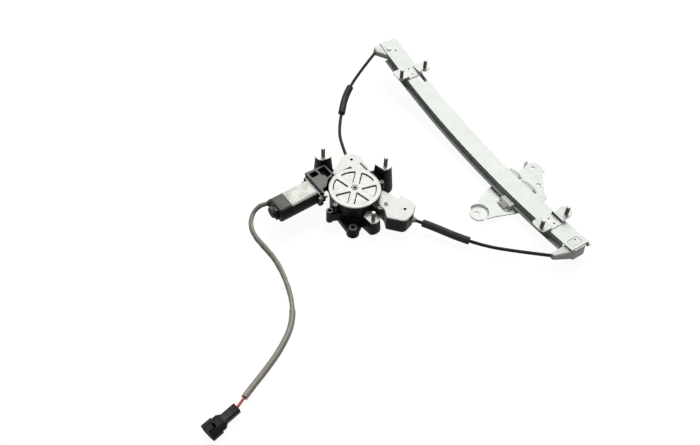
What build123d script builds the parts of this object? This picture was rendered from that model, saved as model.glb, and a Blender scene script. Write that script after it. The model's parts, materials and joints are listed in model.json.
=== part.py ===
"""A cable window regulator with its motor, laid on its back with the panel studs up."""

from build123d import *
import math
import os

# Millimetres. The drum axis is the origin, Z = 0 is the flat back, +Y runs up the rail.
FIT = 0.05  # radial clearance of a shaft in its bore
GAP = 0.3  # clearance between parts that only pass each other
SHEET = 1.4  # thickness of the pressed steel parts
FLAT = (Align.CENTER, Align.CENTER, Align.MIN)
FROM_LEFT, FROM_RIGHT = (Align.MIN, Align.CENTER), (Align.MAX, Align.CENTER)
CUT = 40.0  # length of a cutter that goes right through

# guide rail, a hat section bent to the curve of the glass
RAIL_X = 218.5
RAIL_RADIUS = 1302.0
RAIL_LOW_Y, RAIL_LOW_Z = -81.2, 22.0
RAIL_TOP_ARC, RAIL_BOTTOM_ARC = 324.0, -167.0
WEB_HALF, LIP_HALF, WALL_FOOT, RAIL_DEPTH = 15.9, 21.6, 17.1, 11.5
CABLE_DEPTH = 8.0
UPPER_CORNER, LOWER_CORNER, CORNER_R, TUNNEL_R = 10.0, -3.0, 8.0, 1.3
CABLE_D = 1.5
CONDUIT_D, SLEEVE_D = 5.0, 11.4

# cable guides in the ends of the rail
UPPER_GUIDE_ARC, LOWER_GUIDE_ARC = 309.0, -158.0
GUIDE_TOP, UPPER_GUIDE_DEEP, LOWER_GUIDE_DEEP = SHEET + 0.1, 12.5, 20.0
UPPER_WALL_END, LOWER_WALL_END = -14.0, 9.5
SOCKET_DEEP = 5.0
GUIDE_RIVET, GUIDE_RIVET_R = (-8.0, -1.0), 2.0
GUIDE_RIVET_HEAD_R, GUIDE_RIVET_HEAD, GUIDE_RIVET_ROUND = 4.2, 1.6, 1.4
PIP, PIP_R = (1.0, -9.0), 1.6  # the small hole beside the upper guide's rivet
UPPER_GUIDE_OUTLINE = [(-30, 11), (-26.5, 15.4), (13.4, 15.4), (13.4, -13.6), (-14.2, -13.6), (-30, 3.5)]
UPPER_GUIDE_ROUND = [1.5, 3, 2, 2, 3, 1.5]
LOWER_GUIDE_OUTLINE = [(-13.5, -11), (10, -11), (10, 7.6), (-13.5, 7.6)]
LOWER_GUIDE_ROUND = [3, 3, 2, 2]
NECK_NEAR, NECK_NEAR_SIZE = (-12.0, -1.7, 11.4), (18.6, 17.2)  # the lower guide's tapered neck
NECK_FAR, NECK_FAR_SIZE, NECK_ROUND = (-36.0, 6.2, 14.6), (7.0, 10.0), 3.0
CLIP_HOLE, CLIP_HOLE_DEEP = (2.0, 4.0), 2.5
WINDOW_LONG, WINDOW_WIDE, WINDOW_SHIFT = 12.0, 20.0, (-1.0, 2.0)

# stud brackets across the rail
BRACKET_PLATE = 1.5
BRACKET_LONG = 24.0
BRACKET_LEFT, BRACKET_RIGHT = -13.5, 10.5
LEFT_WING_END, LEFT_WING_ROUND = -33.0, [1, 5, 5, 1]
RIGHT_WING, RIGHT_WING_R, RIGHT_WING_STEP = 23.5, 10.5, 4.0  # a disc round the right stud
RIGHT_ROOT, RIGHT_ROOT_SIZE = (16.0, -1.0), (15.0, 19.0)
UPPER_BRACKET_ARC, LOWER_BRACKET_ARC = 249.7, -109.4
UPPER_WING, LOWER_WING = 4.13, 6.41  # height of the level wings over the web
STUD_OUT_LEFT, STUD_OUT_RIGHT = -25.5, 22.1
UPPER_STUD_STEP, LOWER_STUD_STEP = -7.0, -3.5  # from the strap's middle, along Y
BRACKET_RIVET_X, BRACKET_RIVET_STEP, RIVET_R = -1.5, 12.0, 2.2
RELIEF_STEP = 20.0  # from the upper bracket down to the notch in the rail
RELIEF, RELIEF_ROUND = [(3.0, -8), (20, -8), (20, 8), (3.0, 8)], [4, 1, 1, 4]
RIVET_FOOT_R, RIVET_FOOT, RIVET_HOLLOW_R = 3.4, 1.0, 1.4

# lift plate that carries the glass
CARRIER_ARC = -24.0
PLATE, PLATE_TOP, TAB_DROP = 2.0, -15.2, 4.2
LEFT_TAB, LEFT_TAB_HOLE, LEFT_TAB_R = (-67.0, -5.0), (-69.2, -2.7), 13.5
RIGHT_TAB, RIGHT_TAB_HOLE, RIGHT_TAB_R = (64.5, 21.5), (65.5, 24.5), 14.5
TAB_FLARE = 3.2
TAB_SHEET, TAB_OPEN = 0.6, 0.35  # coned wall's thickness; where its open side starts, of the radius
LEFT_TAB_TURN, RIGHT_TAB_TURN = 178.0, 20.0  # the open side of each tab
GLASS_HOLE_R = 3.3
CARRIER_OUTLINE = [
    (-22, 25),
    (-42, 19),
    (-60, 10),
    (-66, -22),
    (-52, -25),
    (-20, -37),
    (30, -40),
    (41, -36),
    (43, -26),
    (66, 4),
    (50, 29),
    (26, 27),
]
CARRIER_ROUND = [2, 20, 5, 4, 10, 10, 4, 4, 4, 3, 6, 2]
CARRIER_HOLE, CARRIER_HOLE_R = (45.0, -10.5), 3.4
HOLDER_STEP, HOLDER_EDGE = 4.0, 1.5  # up the rail from the carrier's middle; edge of its block
CARRIER_SLOT = (12.0, 18.0)
SLIDERS = {  # side of the rail, middle along it from the carrier's own, length
    "left_slider": (-1, -15.0, 22.0),
    "upper_right_slider": (1, 24.0, 20.0),
    "lower_right_slider": (1, -7.0, 27.0),
}
SLIDER_OUT, SLIDER_FOOT, SLIDER_LAP = 33.0, 3.2, 3.4
SLIDER_NOTCH, SLIDER_NOTCH_Z = (9.0, 9.0, 6.0), 4.5
PEG_IN, PEG_R, PEG_LONG = 4.5, 1.6, 3.2  # rivets that hold the sliders, in from the slider's edge
PEG_HEAD_R, PEG_HEAD = 2.8, 1.0
NIPPLE_PLACES = (14.0, -6.0)
SLIDER_TOP = -7.2
HOLDER_LONG, HOLDER_HALF, HOLDER_TOP = 42.0, 9.5, -4.0
NIPPLE_R, NIPPLE_LONG = 2.5, 7.0

# mounting base, drum and cable outlets
BASE_R, BASE_TOP, BASE_FLOOR = 37.0, 26.0, 3.0
DRUM_PITCH_R, DRUM_BOTTOM, DRUM_TALL, DRUM_FLANGE_R = 22.0, 4.5, 18.0, 24.2
DRUM_TURNS, CABLE_PITCH = 3.5, 2.6
CABLE_Z = 14.0
SHAFT_R, SHAFT_TOP = 4.0, 39.0
LID_TOP, LID_SHEET = 30.0, 1.6
FERRULE_R, FERRULE_LONG, FERRULE_TIP, FERRULE_IN = 5.2, 13.0, 5.0, 11.0
FERRULE_WALL, MOUTH_R = 1.2, 2.1
FLANGE, FLANGE_OUT = 1.6, 0.6
TOWERS = (  # centre x, y, radius, distance to the flat, direction of the flat, height
    (-11.0, 71.8, 11.8, 9.8, -98.0, 54.0),
    (56.2, 9.5, 12.4, 8.8, 197.0, 54.0),
    (-1.2, -49.6, 11.6, 8.5, 189.0, 27.2),
)
TOWER_STUDS = ((-12.3, 69.5), (57.0, 5.6), (-2.4, -54.0))
TOWER_DEEP, TOWER_DRAFT, TOWER_FOOT = 15.5, 5.0, 2.0
EAR, EAR_R, EAR_HOLE_R, EAR_TOP, EAR_SLOPE = (-29.5, -43.0), 8.2, 2.8, 15.0, 1.5
POST, POST_R, POST_HOLE_R, POST_TOP = (-49.0, -10.0), 5.2, 2.7, 31.0
POST_WEB = [(-47, -14), (-30, -20), (-30, 4), (-50, -4)]
POST_FOOT, POST_WEB_TOP, POST_DEEP = 8.0, 24.0, 14.0
LOBE_BOSS, LOBE_BOSS_R, LOBE_BOSS_TOP = (36.0, -71.0), 6.5, 14.0
LOBE_FOOT, LOBE_IN = 2.0, 0.8  # the lobes' walls start over the back face, inside the lid's edge
BEARING_WALL, BEARING_FLOOR, DRUM_ROOM = 4.0, 1.2, 1.3
WAY_WIDE, WAY_TALL, WAY_EXTRA = 7.0, 9.0, 14.0  # the slot each cable runs in
UPPER_LOBE = [(-12, 26), (-6, 52), (26, 74.5), (46.5, 66), (45.5, 20), (14, 14)]
UPPER_LOBE_R = [4, 6, 12, 9, 4, 4]
LOWER_LOBE = [
    (36, -8),
    (50.3, -41.5),
    (57, -38.8),
    (67, -63),
    (53.5, -76.5),
    (34.5, -83.5),
    (14.5, -62.5),
    (20, -50),
    (19, -24),
]
LOWER_LOBE_R = [4, 1.5, 3, 10, 7, 10, 4, 6, 4]
BRIDGES = (  # outline of each wall that ties a tower or the ear to the middle, and its height
    ([(-21, 20), (1, 20), (0, 62), (-20, 64)], BASE_TOP),
    ([(20, -7), (48, -3), (48, 19), (20, 24)], 36.0),
    ([(-13, -20), (10, -20), (9, -46), (-9, -46)], 22.0),
    ([(-37.5, 0), (-37.5, -36), (-34, -49), (-24, -50), (-13, -42), (4, -43), (4, 0)], 12.0),
)
LID_HOLES, LID_HOLE_R = ((32.4, 59.9), (46.5, -63.6)), 2.2
LID_RIVET, LID_RIVET_R = (28.0, -41.4), 2.3
LID_RIVET_DEEP, LID_RIVET_LIP, LID_RIVET_HEAD = 6.0, 0.8, 0.8
LID_GROOVE, LID_GROOVE_TURN, LID_GROOVE_SIZE, LID_EDGE = (40.5, 38.0), -86.0, (18.0, 3.0), 2.2
SHAFT_START, RING_GROOVE, RING_DEEP, RING_SHEET, RING_OUT = 1.4, 0.9, 0.6, 0.8, 1.8
DRUM_RIM, DRUM_HOLLOW, DRUM_RIB, DRUM_RIBS = 2.0, 12.0, (15.0, 2.0, 10.0), 6

# M6 studs
STUD_R, STUD_LONG, NECK_R, HEAD_R, HEAD_TALL = 3.0, 16.0, 3.3, 5.5, 2.0
STUD_TIP = 0.7
WELL_TOP, TOWER_WALL = 22.0, 2.5  # the towers are hollow from below
STUD_SEAT = 3.0  # plastic between a tower's bright flange and the head of its stud

# gearbox
MOTOR_TURN = 3.3  # degrees from the X axis to the motor axis
WHEEL_TEETH, WHEEL_PITCH_R, WORM_PITCH_R, WORM_TURNS = 48, 29.7, 4.7, 5
MOTOR_Y, MOTOR_Z = WHEEL_PITCH_R + WORM_PITCH_R, 33.5
WHEEL_BOTTOM, WHEEL_TALL = 29.5, 8.0
TOOTH_TIP, TOOTH_ROOT = 0.8, 1.2
TOOTH_TIP_HALF, TOOTH_ROOT_HALF = 0.12, 0.30  # of the pitch
WHEEL_DISH = (25.0, 10.0, 3.0)  # outer radius, inner radius and depth of the hollow in its face
THREAD_ROOT, THREAD_ROOT_HALF, THREAD_TIP_HALF, WORM_EXTRA = 1.1, 0.8, 0.36, 1.5
GEARBOX_R, GEARBOX_BOTTOM, GEARBOX_TOP = 38.0, BASE_TOP + LID_SHEET, 40.4
GEARBOX_FLOOR, TUNNEL_OUT_R, TUNNEL_IN_R = 1.6, 8.2, 5.9
PAD_END, TUNNEL_END, TUNNEL_FLAT = 18.4, 20.6, 70.0
FLANGE_WIDE, FLANGE_TALL, SCREW_EAR = 45.0, 27.5, (23.5, 6.5)
COVER_SEAT_R, COVER_SHEET = 34.0, 1.2
COVER_R, COVER_TOP_Z, RIM_WIDE = 38.5, GEARBOX_TOP + 2.0, 6.0
POCKETS, POCKET_TURN, POCKET_DEEP, SPOKE_HALF = 6, 17.0, 2.1, 3.9
HUB_HOLE_R = 2.4
COVER_SCREWS = [(42.2, math.radians(-17)), (51.5, math.radians(-80.5)), (42.2, math.radians(193))]
COVER_SCREW_R, BOSS_R, CAN_SCREW_R = 1.6, 4.0, 2.0
COVER_SCREW_LONG, COVER_SCREW_HEAD_R, HEX_R = 7.0, 3.2, 1.5
CAN_SCREW_LONG, CAN_SCREW_HEAD_R, CAN_SCREW_HEAD = 9.0, 4.0, 3.0
FLANGE_ROUND, FLANGE_SHEET, EAR_OUT, TUNNEL_START = 6.0, 4.0, 3.0, 3.0
WHEEL_ROOM, COVER_EDGE, POCKET_ROUND, POCKET_SLOPE = 0.9, 0.9, 2.6, 30.0

# motor
CAN_R, CAN_HALF, CAN_WALL = 18.5, 13.4, 1.6
CAN_START, CAN_END, CAP_END = -51.0, -95.5, -115.7
MOTOR_SHAFT_R, CORE_R, CORE_LONG, CORE_X = 2.5, 11.3, 26.0, -88.0
REAR_BUSH_X, FRONT_BUSH_X = -46.0, 12.0
COMMUTATOR_R, COMMUTATOR_X, COMMUTATOR_LONG = 6.0, -105.5, 9.0
BUSH_R, BUSH_LONG, EAR_SHEET = 5.0, 4.5, 1.4
COLLAR_OUT, COLLAR_WALL, GROMMET_LIP = 6.0, 1.6, 1.4
MAGNET_WIDE, MAGNET_GAP, BRUSH, BRUSH_END = 17.0, 0.9, (5.0, 4.0), 2.2
CORE_SLOTS, CORE_SLOT, CORE_SLOT_IN = 8, (5.2, 2.2), 2.2
WINDING_LONG, WINDING_IN = 5.0, 1.2
BARS, BAR_GAP = 8, (1.2, 0.6)  # the commutator's bars and the gaps between them
SHAFT_END, BUSH_DEEP, BUSH_SUNK = 0.4, 6.0, 0.2
CAP_BOSS_R, CAP_BOSS_LONG, CAP_EDGE, CAP_RIB = 8.6, 8.0, 1.8, 20.0
CAP_FACE, CAP_WALL, GROMMET_WALL, GROMMET_IN, GROMMET_OUT = 3.5, 2.2, 1.4, 4.0, 9.0

# wiring bracket on the gearbox, in the motor's frame
BRACKET_Z, BRACKET_TOP_Z, BLOCK_EDGE, POCKET_HOLE = 42.6, 47.0, 44.5, 9.0
BLOCK_FOOT = 6.0  # over the gearbox's underside
BRACKET_OUTLINE = [
    (-46.6, 62),
    (-13.4, 59),
    (-12.6, 39),
    (-17, 34.6),
    (-26, 32),
    (-35.5, 22.2),
    (-42, 21.5),
    (-44.5, 13),
    (-46.6, 13),
]
LEFT_POCKET = [(-42.8, 47.4), (-31.0, 47.4), (-31.6, 56.6), (-42.8, 56.6)]
RIGHT_POCKET = [(-28, 57), (-15.4, 57), (-15.4, 38.6), (-24, 35.6), (-25.2, 42), (-28, 44)]

# motor lead and its plug
WIRE_D, LEAD_D, JOINT_D = 3.6, 6.5, 8.5
PLUG_REAR, PLUG_TURN, PLUG_Z = (-297.0, -202.6), 193.5, 8.9
PLUG_LONG, HOOD_LONG, HOOD_WIDE, HOOD_TALL, HOOD_WALL = 46.0, 21.0, 21.5, 13.4, 1.4
POST_WIDE, POST_TALL, SEAL_RIDGE, WIRE_ROOM = 12.0, 5.6, 1.5, 0.7
PLUG_BODY, PLUG_BODY_ROUND, HOOD_ROUND, NECK_LONG = (13.0, 9.6), 2.4, 5.5, 5.0
SIDE_RIB, SIDE_RIB_START, SIDE_SLOT, SIDE_SLOT_START = (3.6, 3.8), 6.0, (3.6, 2.4), 8.0
FOOT_RIB, FOOT_RIB_OUT, FOOT_RIB_START = (2.6, 2.8), 5.0, 4.0
LATCH, LATCH_ROUND, LATCH_LONG, LATCH_HOLE, LATCH_DEEP = (7.8, 4.6), 0.8, 9.0, (5.0, 2.0), 12.0
WIRE_HOLE = 8.0
PIN_OUT, PIN_HOLE, PIN_DEEP, PIN, PIN_TIP = 3.4, (2.6, 3.0), 10.0, (1.8, 0.8), 3.6
KEY_SLOT, KEY_DEEP, INSERT_TIP, INSERT_FOOT = (1.6, 3.4), 6.0, 3.0, 3.0
SEAL_LONG, SEAL_RINGS, SEAL_RING = 6.0, (0.6, 3.4), 1.6

LEAD_ROUTE = [
    (-112.0, 44.5, 30.0),
    (-121.0, 58.0, 21.5),
    (-136.5, 62.0, 10.0),
    (-151.0, 47.5, 3.8),
    (-155.5, 24.0, 3.6),
    (-152.5, -2.0, 3.6),
    (-149.5, -29.0, 3.6),
    (-153.5, -64.0, 3.6),
    (-163.5, -102.0, 3.6),
    (-182.0, -134.0, 4.4),
    (-212.0, -157.5, 4.4),
    (-246.0, -175.5, 4.4),
    (-277.5, -190.0, 4.8),
    (-297.5, -202.6, 8.9),
]
UPPER_ROUTE = [
    (36.5, 77.5, CABLE_Z),
    (41.5, 97.0, CABLE_Z),
    (54.5, 134.5, 17.0),
    (100.5, 188.5, 27.0),
    (137.0, 212.0, 38.0),
    (187.6, 232.6, 52.0),
]
LOWER_ROUTE = [
    (52.3, -73.5, CABLE_Z),
    (71.5, -102.5, CABLE_Z),
    (90.0, -130.5, 10.8),
    (116.0, -166.5, 9.8),
    (147.5, -199.5, 13.0),
    (182.2, -231.8, 16.5),
]


def on_rail(arc, across=0.0, up=0.0):
    """The rail's own place that far along its curve: x across, y along, z off the web."""
    turn = math.degrees(arc / RAIL_RADIUS)
    centre = Pos(RAIL_X, RAIL_LOW_Y, RAIL_LOW_Z + RAIL_RADIUS)
    return centre * Rot(turn, 0, 0) * Pos(across, 0, up - RAIL_RADIUS)


def along_rail(section, start_arc, end_arc):
    """A section, drawn with x across and y off the web, carried along the rail's curve."""
    hub = Axis((0, 0, RAIL_RADIUS), (1, 0, 0))
    arc = math.degrees((end_arc - start_arc) / RAIL_RADIUS)
    swept = revolve(Plane.XZ * section, axis=hub, revolution_arc=arc)
    centre = Pos(RAIL_X, RAIL_LOW_Y, RAIL_LOW_Z + RAIL_RADIUS)
    return centre * Rot(math.degrees(start_arc / RAIL_RADIUS), 0, 0) * Pos(0, 0, -RAIL_RADIUS) * swept


def prism(face, low, high):
    return Pos(0, 0, low) * extrude(face, amount=high - low)


def rounded(points, radii):
    """A flat outline of straight edges with its corners rounded."""
    return make_face(FilletPolyline(*points, radius=radii, close=True))


def d_face(radius, flat, turn):
    """A disc with one flat, whose normal points in the direction turn."""
    cut = Pos(flat + radius, 0) * Rectangle(2 * radius, 3 * radius)
    return Rot(0, 0, turn) * (Circle(radius) - cut)


def in_motor(shape):
    return Rot(0, 0, MOTOR_TURN) * shape


def along_motor(radius, start, end):
    """A round bar on the motor's axis, in the motor's frame."""
    return Pos(start, MOTOR_Y, MOTOR_Z) * Rot(0, 90, 0) * Cylinder(radius, end - start, align=FLAT)


def motor_section(face, start, end):
    """A section drawn in the plane across the motor's axis."""
    plane = Plane(origin=(start, MOTOR_Y, MOTOR_Z), x_dir=(0, 1, 0), z_dir=(1, 0, 0))
    return extrude(plane * face, amount=end - start)


def double_d(radius, half):
    return Circle(radius) & Rectangle(2 * radius, 2 * half)


def bend_radii(points):
    radii = []
    for before, here, after in zip(points, points[1:], points[2:]):
        a, b = Vector(*here) - Vector(*before), Vector(*after) - Vector(*here)
        half_turn = math.radians(a.get_angle(b)) / 2
        radii.append(0.45 * min(a.length, b.length) / math.tan(half_turn))
    return radii


def route_line(points, first=0, last=None):
    """The cord's centreline, or the stretch between the middles of two of its runs."""
    radii = bend_radii(points)
    last = len(points) - 2 if last is None else last
    ends = [(Vector(*points[i]) + Vector(*points[i + 1])) / 2 for i in (first, last)]
    whole = first == 0 and last == len(points) - 2
    if whole:
        return FilletPolyline(*points, radius=radii)
    return FilletPolyline(ends[0], *points[first + 1 : last + 1], ends[1], radius=radii[first:last])


def tube(line, outer, inner=0.0):
    ring = Circle(outer) - Circle(inner) if inner else Circle(outer)
    return sweep(Plane(origin=line @ 0, z_dir=line % 0) * ring, path=line)


def stud(x, y, seat, plate):
    """A clinched stud: its head under the plate, a thicker neck in it, its thread above it."""
    shank = Cylinder(STUD_R, STUD_LONG, align=FLAT)
    shank = chamfer(shank.faces().sort_by(Axis.Z)[-1].edges(), STUD_TIP)
    neck = Pos(0, 0, -plate) * Cylinder(NECK_R, plate, align=FLAT)
    head = Pos(0, 0, -plate - HEAD_TALL) * Cylinder(HEAD_R, HEAD_TALL, align=FLAT)
    return Pos(x, y, seat) * (shank + neck + head)


# ------------------------------------------------------------------ rail
def guide_rail():
    wall_in = WALL_FOOT - SHEET
    half = [
        (WEB_HALF, 0),
        (WALL_FOOT, SHEET - RAIL_DEPTH),
        (LIP_HALF, SHEET - RAIL_DEPTH),
        (LIP_HALF, -RAIL_DEPTH),
        (wall_in, -RAIL_DEPTH),
        (WEB_HALF - SHEET, -SHEET),
    ]
    outline = half + [(-x, z) for x, z in reversed(half)]
    rail = along_rail(make_face(Polyline(*outline, close=True)), RAIL_BOTTOM_ARC, RAIL_TOP_ARC)
    # the left wall stops short of both ends, where the cable guides come out
    wall = Pos(SHEET - WEB_HALF, -SHEET) * Rectangle(CUT, CUT, align=(Align.MAX, Align.MAX))
    rail -= along_rail(wall, UPPER_GUIDE_ARC + UPPER_WALL_END, RAIL_TOP_ARC + 1)
    rail -= along_rail(wall, RAIL_BOTTOM_ARC - 1, LOWER_GUIDE_ARC + LOWER_WALL_END)
    relief = prism(rounded(RELIEF, RELIEF_ROUND), SHEET - RAIL_DEPTH + 1, SHEET)
    rail -= on_rail(UPPER_BRACKET_ARC - RELIEF_STEP) * relief
    window = Pos(*WINDOW_SHIFT) * RectangleRounded(WINDOW_WIDE, WINDOW_LONG, 1.0)
    rail -= on_rail(LOWER_GUIDE_ARC) * prism(window, -2 * SHEET, SHEET)
    rail -= on_rail(UPPER_GUIDE_ARC) * Pos(*GUIDE_RIVET) * Cylinder(GUIDE_RIVET_R, 4 * SHEET)
    rail -= on_rail(UPPER_GUIDE_ARC) * Pos(*PIP) * Cylinder(PIP_R, 4 * SHEET)
    for arc in (UPPER_BRACKET_ARC, LOWER_BRACKET_ARC):
        for step in (-0.5, 0.5):
            hole = Pos(BRACKET_RIVET_X, step * BRACKET_RIVET_STEP, 0) * Cylinder(RIVET_R, 4 * SHEET)
            rail -= on_rail(arc) * hole
    return rail


def end_socket(route):
    """The bore in a cable guide that the conduit's end sits in."""
    last, end = Vector(*route[-2]), Vector(*route[-1])
    plane = Plane(origin=end, z_dir=last - end)
    return extrude(plane * Circle(CONDUIT_D / 2 + FIT), amount=2 * SOCKET_DEEP)


def guide_path(route, corner_arc, run_arc):
    """The cable through a guide: from the conduit's end, round the corner and along the rail."""
    last, end = Vector(*route[-2]), Vector(*route[-1])
    start = end + (end - last).normalized() * GAP
    run = on_rail(run_arc, 0, -CABLE_DEPTH)
    corner = (run * Pos(0, corner_arc - run_arc, 0)).position
    return FilletPolyline(start, corner, run.position, radius=CORNER_R)


def upper_path():
    return guide_path(UPPER_ROUTE, UPPER_GUIDE_ARC + UPPER_CORNER, UPPER_GUIDE_ARC + UPPER_WALL_END - 2)


def lower_path():
    return guide_path(LOWER_ROUTE, LOWER_GUIDE_ARC + LOWER_CORNER, LOWER_GUIDE_ARC + LOWER_WALL_END + 4)


def upper_cable_guide():
    body = prism(rounded(UPPER_GUIDE_OUTLINE, UPPER_GUIDE_ROUND), -UPPER_GUIDE_DEEP, -GUIDE_TOP)
    body = chamfer(body.edges().filter_by(Axis.Z, reverse=True).group_by(Axis.X)[0], 1.0)
    body -= Pos(*GUIDE_RIVET, 0) * Cylinder(GUIDE_RIVET_R, CUT)
    body = on_rail(UPPER_GUIDE_ARC) * body
    return body - tube(upper_path(), TUNNEL_R) - end_socket(UPPER_ROUTE)


def neck_end(place, size):
    """One end of the lower guide's neck, in a plane across the rail's own X axis."""
    plane = Plane(origin=(place[0], 0, 0), x_dir=(0, 1, 0), z_dir=(-1, 0, 0))
    return plane * Pos(*place[1:]) * RectangleRounded(*size, NECK_ROUND)


def lower_cable_guide():
    body = prism(rounded(LOWER_GUIDE_OUTLINE, LOWER_GUIDE_ROUND), -LOWER_GUIDE_DEEP, -GUIDE_TOP)
    body += loft([neck_end(NECK_NEAR, NECK_NEAR_SIZE), neck_end(NECK_FAR, NECK_FAR_SIZE)])
    clip = Box(WINDOW_WIDE - 1, WINDOW_LONG - 1, GUIDE_TOP - GAP, align=FLAT)
    clip = Pos(*WINDOW_SHIFT, -GUIDE_TOP) * clip
    body += clip - Pos(*CLIP_HOLE, -CLIP_HOLE_DEEP) * Cylinder(PIP_R, CUT, align=FLAT)
    body = on_rail(LOWER_GUIDE_ARC) * body
    return body - tube(lower_path(), TUNNEL_R) - end_socket(LOWER_ROUTE)


def upper_guide_rivet():
    pin = Cylinder(GUIDE_RIVET_R - FIT, UPPER_GUIDE_DEEP + 1, align=FLAT)
    head = Pos(0, 0, FIT) * Cylinder(GUIDE_RIVET_HEAD_R, GUIDE_RIVET_HEAD, align=FLAT)
    head = fillet(head.faces().sort_by(Axis.Z)[-1].edges(), GUIDE_RIVET_ROUND)
    return on_rail(UPPER_GUIDE_ARC) * Pos(*GUIDE_RIVET, 0) * (Pos(0, 0, -UPPER_GUIDE_DEEP) * pin + head)


def rail_cable():
    """The cable along the rail, from one conduit's end to the other's."""
    lower, upper = lower_path(), upper_path()
    middle = on_rail((UPPER_GUIDE_ARC + LOWER_GUIDE_ARC) / 2, 0, -CABLE_DEPTH).position
    run = ThreePointArc(lower @ 1, middle, upper @ 1)
    return tube(Wire(lower.edges() + run.edges() + upper.edges()), CABLE_D / 2)


def wing_place(arc, rise):
    """The level plane of a bracket's wings, over the middle of its strap."""
    centre = on_rail(arc).position
    return Pos(RAIL_X, centre.Y, centre.Z + rise)


def stud_places(step):
    return [(STUD_OUT_LEFT, step), (STUD_OUT_RIGHT, step)]


def stud_bracket(arc, rise, step):
    """A strap riveted on the web, joggled up at both sides to level wings for the studs."""
    place, wings_at = on_rail(arc), wing_place(arc, rise)
    middle = (BRACKET_LEFT + BRACKET_RIGHT) / 2
    strap = Pos(middle, BRACKET_PLATE / 2) * Rectangle(BRACKET_RIGHT - BRACKET_LEFT, BRACKET_PLATE)
    bracket = along_rail(strap, arc - BRACKET_LONG / 2, arc + BRACKET_LONG / 2)
    for side in (-0.5, 0.5):
        hole = Pos(BRACKET_RIVET_X, side * BRACKET_RIVET_STEP, 0) * Cylinder(RIVET_R, 4 * BRACKET_PLATE)
        bracket -= place * hole
    for side, edge in ((-1, BRACKET_LEFT), (1, BRACKET_RIGHT)):
        x = edge - side * BRACKET_PLATE / 2
        section = Rectangle(BRACKET_PLATE, BRACKET_LONG)
        foot = place * Pos(x, 0, BRACKET_PLATE / 2) * section
        head = wings_at * Pos(x, 0, -BRACKET_PLATE / 2) * section
        bracket += loft([foot, head])
    half = BRACKET_LONG / 2
    left = [(BRACKET_LEFT, half), (LEFT_WING_END, half), (LEFT_WING_END, -half), (BRACKET_LEFT, -half)]
    wings = prism(Pos(BRACKET_PLATE, 0) * rounded(left, LEFT_WING_ROUND), -BRACKET_PLATE, 0)
    right = Pos(RIGHT_WING, step + RIGHT_WING_STEP) * Circle(RIGHT_WING_R)
    right += Pos(*RIGHT_ROOT) * Rectangle(*RIGHT_ROOT_SIZE)
    wings += prism(right, -BRACKET_PLATE, 0)
    for x, y in stud_places(step):
        wings -= Pos(x, y, 0) * Cylinder(NECK_R, 4 * BRACKET_PLATE)
    return bracket + wings_at * wings


def bracket_rivets():
    rivets = []
    for arc in (UPPER_BRACKET_ARC, LOWER_BRACKET_ARC):
        for step in (-0.5, 0.5):
            pin = Pos(0, 0, -SHEET) * Cylinder(RIVET_R - FIT, SHEET + BRACKET_PLATE, align=FLAT)
            low = Pos(0, 0, -SHEET - RIVET_FOOT) * Cylinder(RIVET_FOOT_R, RIVET_FOOT, align=FLAT)
            rivet = pin + low - Cylinder(RIVET_HOLLOW_R, CUT)
            rivets.append(on_rail(arc, BRACKET_RIVET_X) * Pos(0, step * BRACKET_RIVET_STEP, 0) * rivet)
    return Compound(children=rivets)


def rail_studs():
    studs = []
    upper = (UPPER_BRACKET_ARC, UPPER_WING, UPPER_STUD_STEP)
    lower = (LOWER_BRACKET_ARC, LOWER_WING, LOWER_STUD_STEP)
    for arc, rise, step in (upper, lower):
        wings_at = wing_place(arc, rise)
        studs += [wings_at * stud(x, y, 0, BRACKET_PLATE) for x, y in stud_places(step)]
    return Compound(children=studs)


# ------------------------------------------------------------------ carrier
def drawn_tab(centre, radius, open_turn):
    """A round tab drawn below the plate, its coned wall left open on its outer side."""
    dish = Cone(radius, radius + TAB_FLARE, TAB_DROP + PLATE, align=FLAT)
    inside = Cone(radius - TAB_SHEET, radius + TAB_FLARE - TAB_SHEET, TAB_DROP + PLATE, align=FLAT)
    wall = dish - Pos(0, 0, PLATE) * inside
    away = Box(3 * radius, 3 * radius, 4 * TAB_DROP, align=(*FROM_LEFT, Align.MIN))
    wall -= Rot(0, 0, open_turn) * Pos(radius * TAB_OPEN, 0, 0) * away
    wall += Cylinder(radius, PLATE, align=FLAT)
    return Pos(*centre, PLATE_TOP - PLATE - TAB_DROP) * wall


def carrier_plate():
    plate = prism(rounded(CARRIER_OUTLINE, CARRIER_ROUND), PLATE_TOP - PLATE, PLATE_TOP)
    tabs = ((LEFT_TAB, LEFT_TAB_R, LEFT_TAB_TURN), (RIGHT_TAB, RIGHT_TAB_R, RIGHT_TAB_TURN))
    for centre, radius, turn in tabs:
        plate -= Pos(*centre, PLATE_TOP) * Cylinder(radius + TAB_FLARE - 2 * GAP, 3 * PLATE)
        plate += drawn_tab(centre, radius, turn)
    for hole in (LEFT_TAB_HOLE, RIGHT_TAB_HOLE):
        plate -= Pos(*hole, PLATE_TOP - TAB_DROP) * Cylinder(GLASS_HOLE_R, 3 * PLATE)
    plate -= Pos(*CARRIER_HOLE, PLATE_TOP) * Cylinder(CARRIER_HOLE_R, 3 * PLATE)
    for x, y in peg_places():
        plate -= Pos(x, y, PLATE_TOP) * Cylinder(PEG_R, 3 * PLATE)
    plate -= Pos(0, HOLDER_STEP, PLATE_TOP) * Box(*CARRIER_SLOT, 3 * PLATE)
    return on_rail(CARRIER_ARC) * plate


def peg_places():
    return [(side * (SLIDER_OUT - PEG_IN), middle) for side, middle, _ in SLIDERS.values()]


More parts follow.
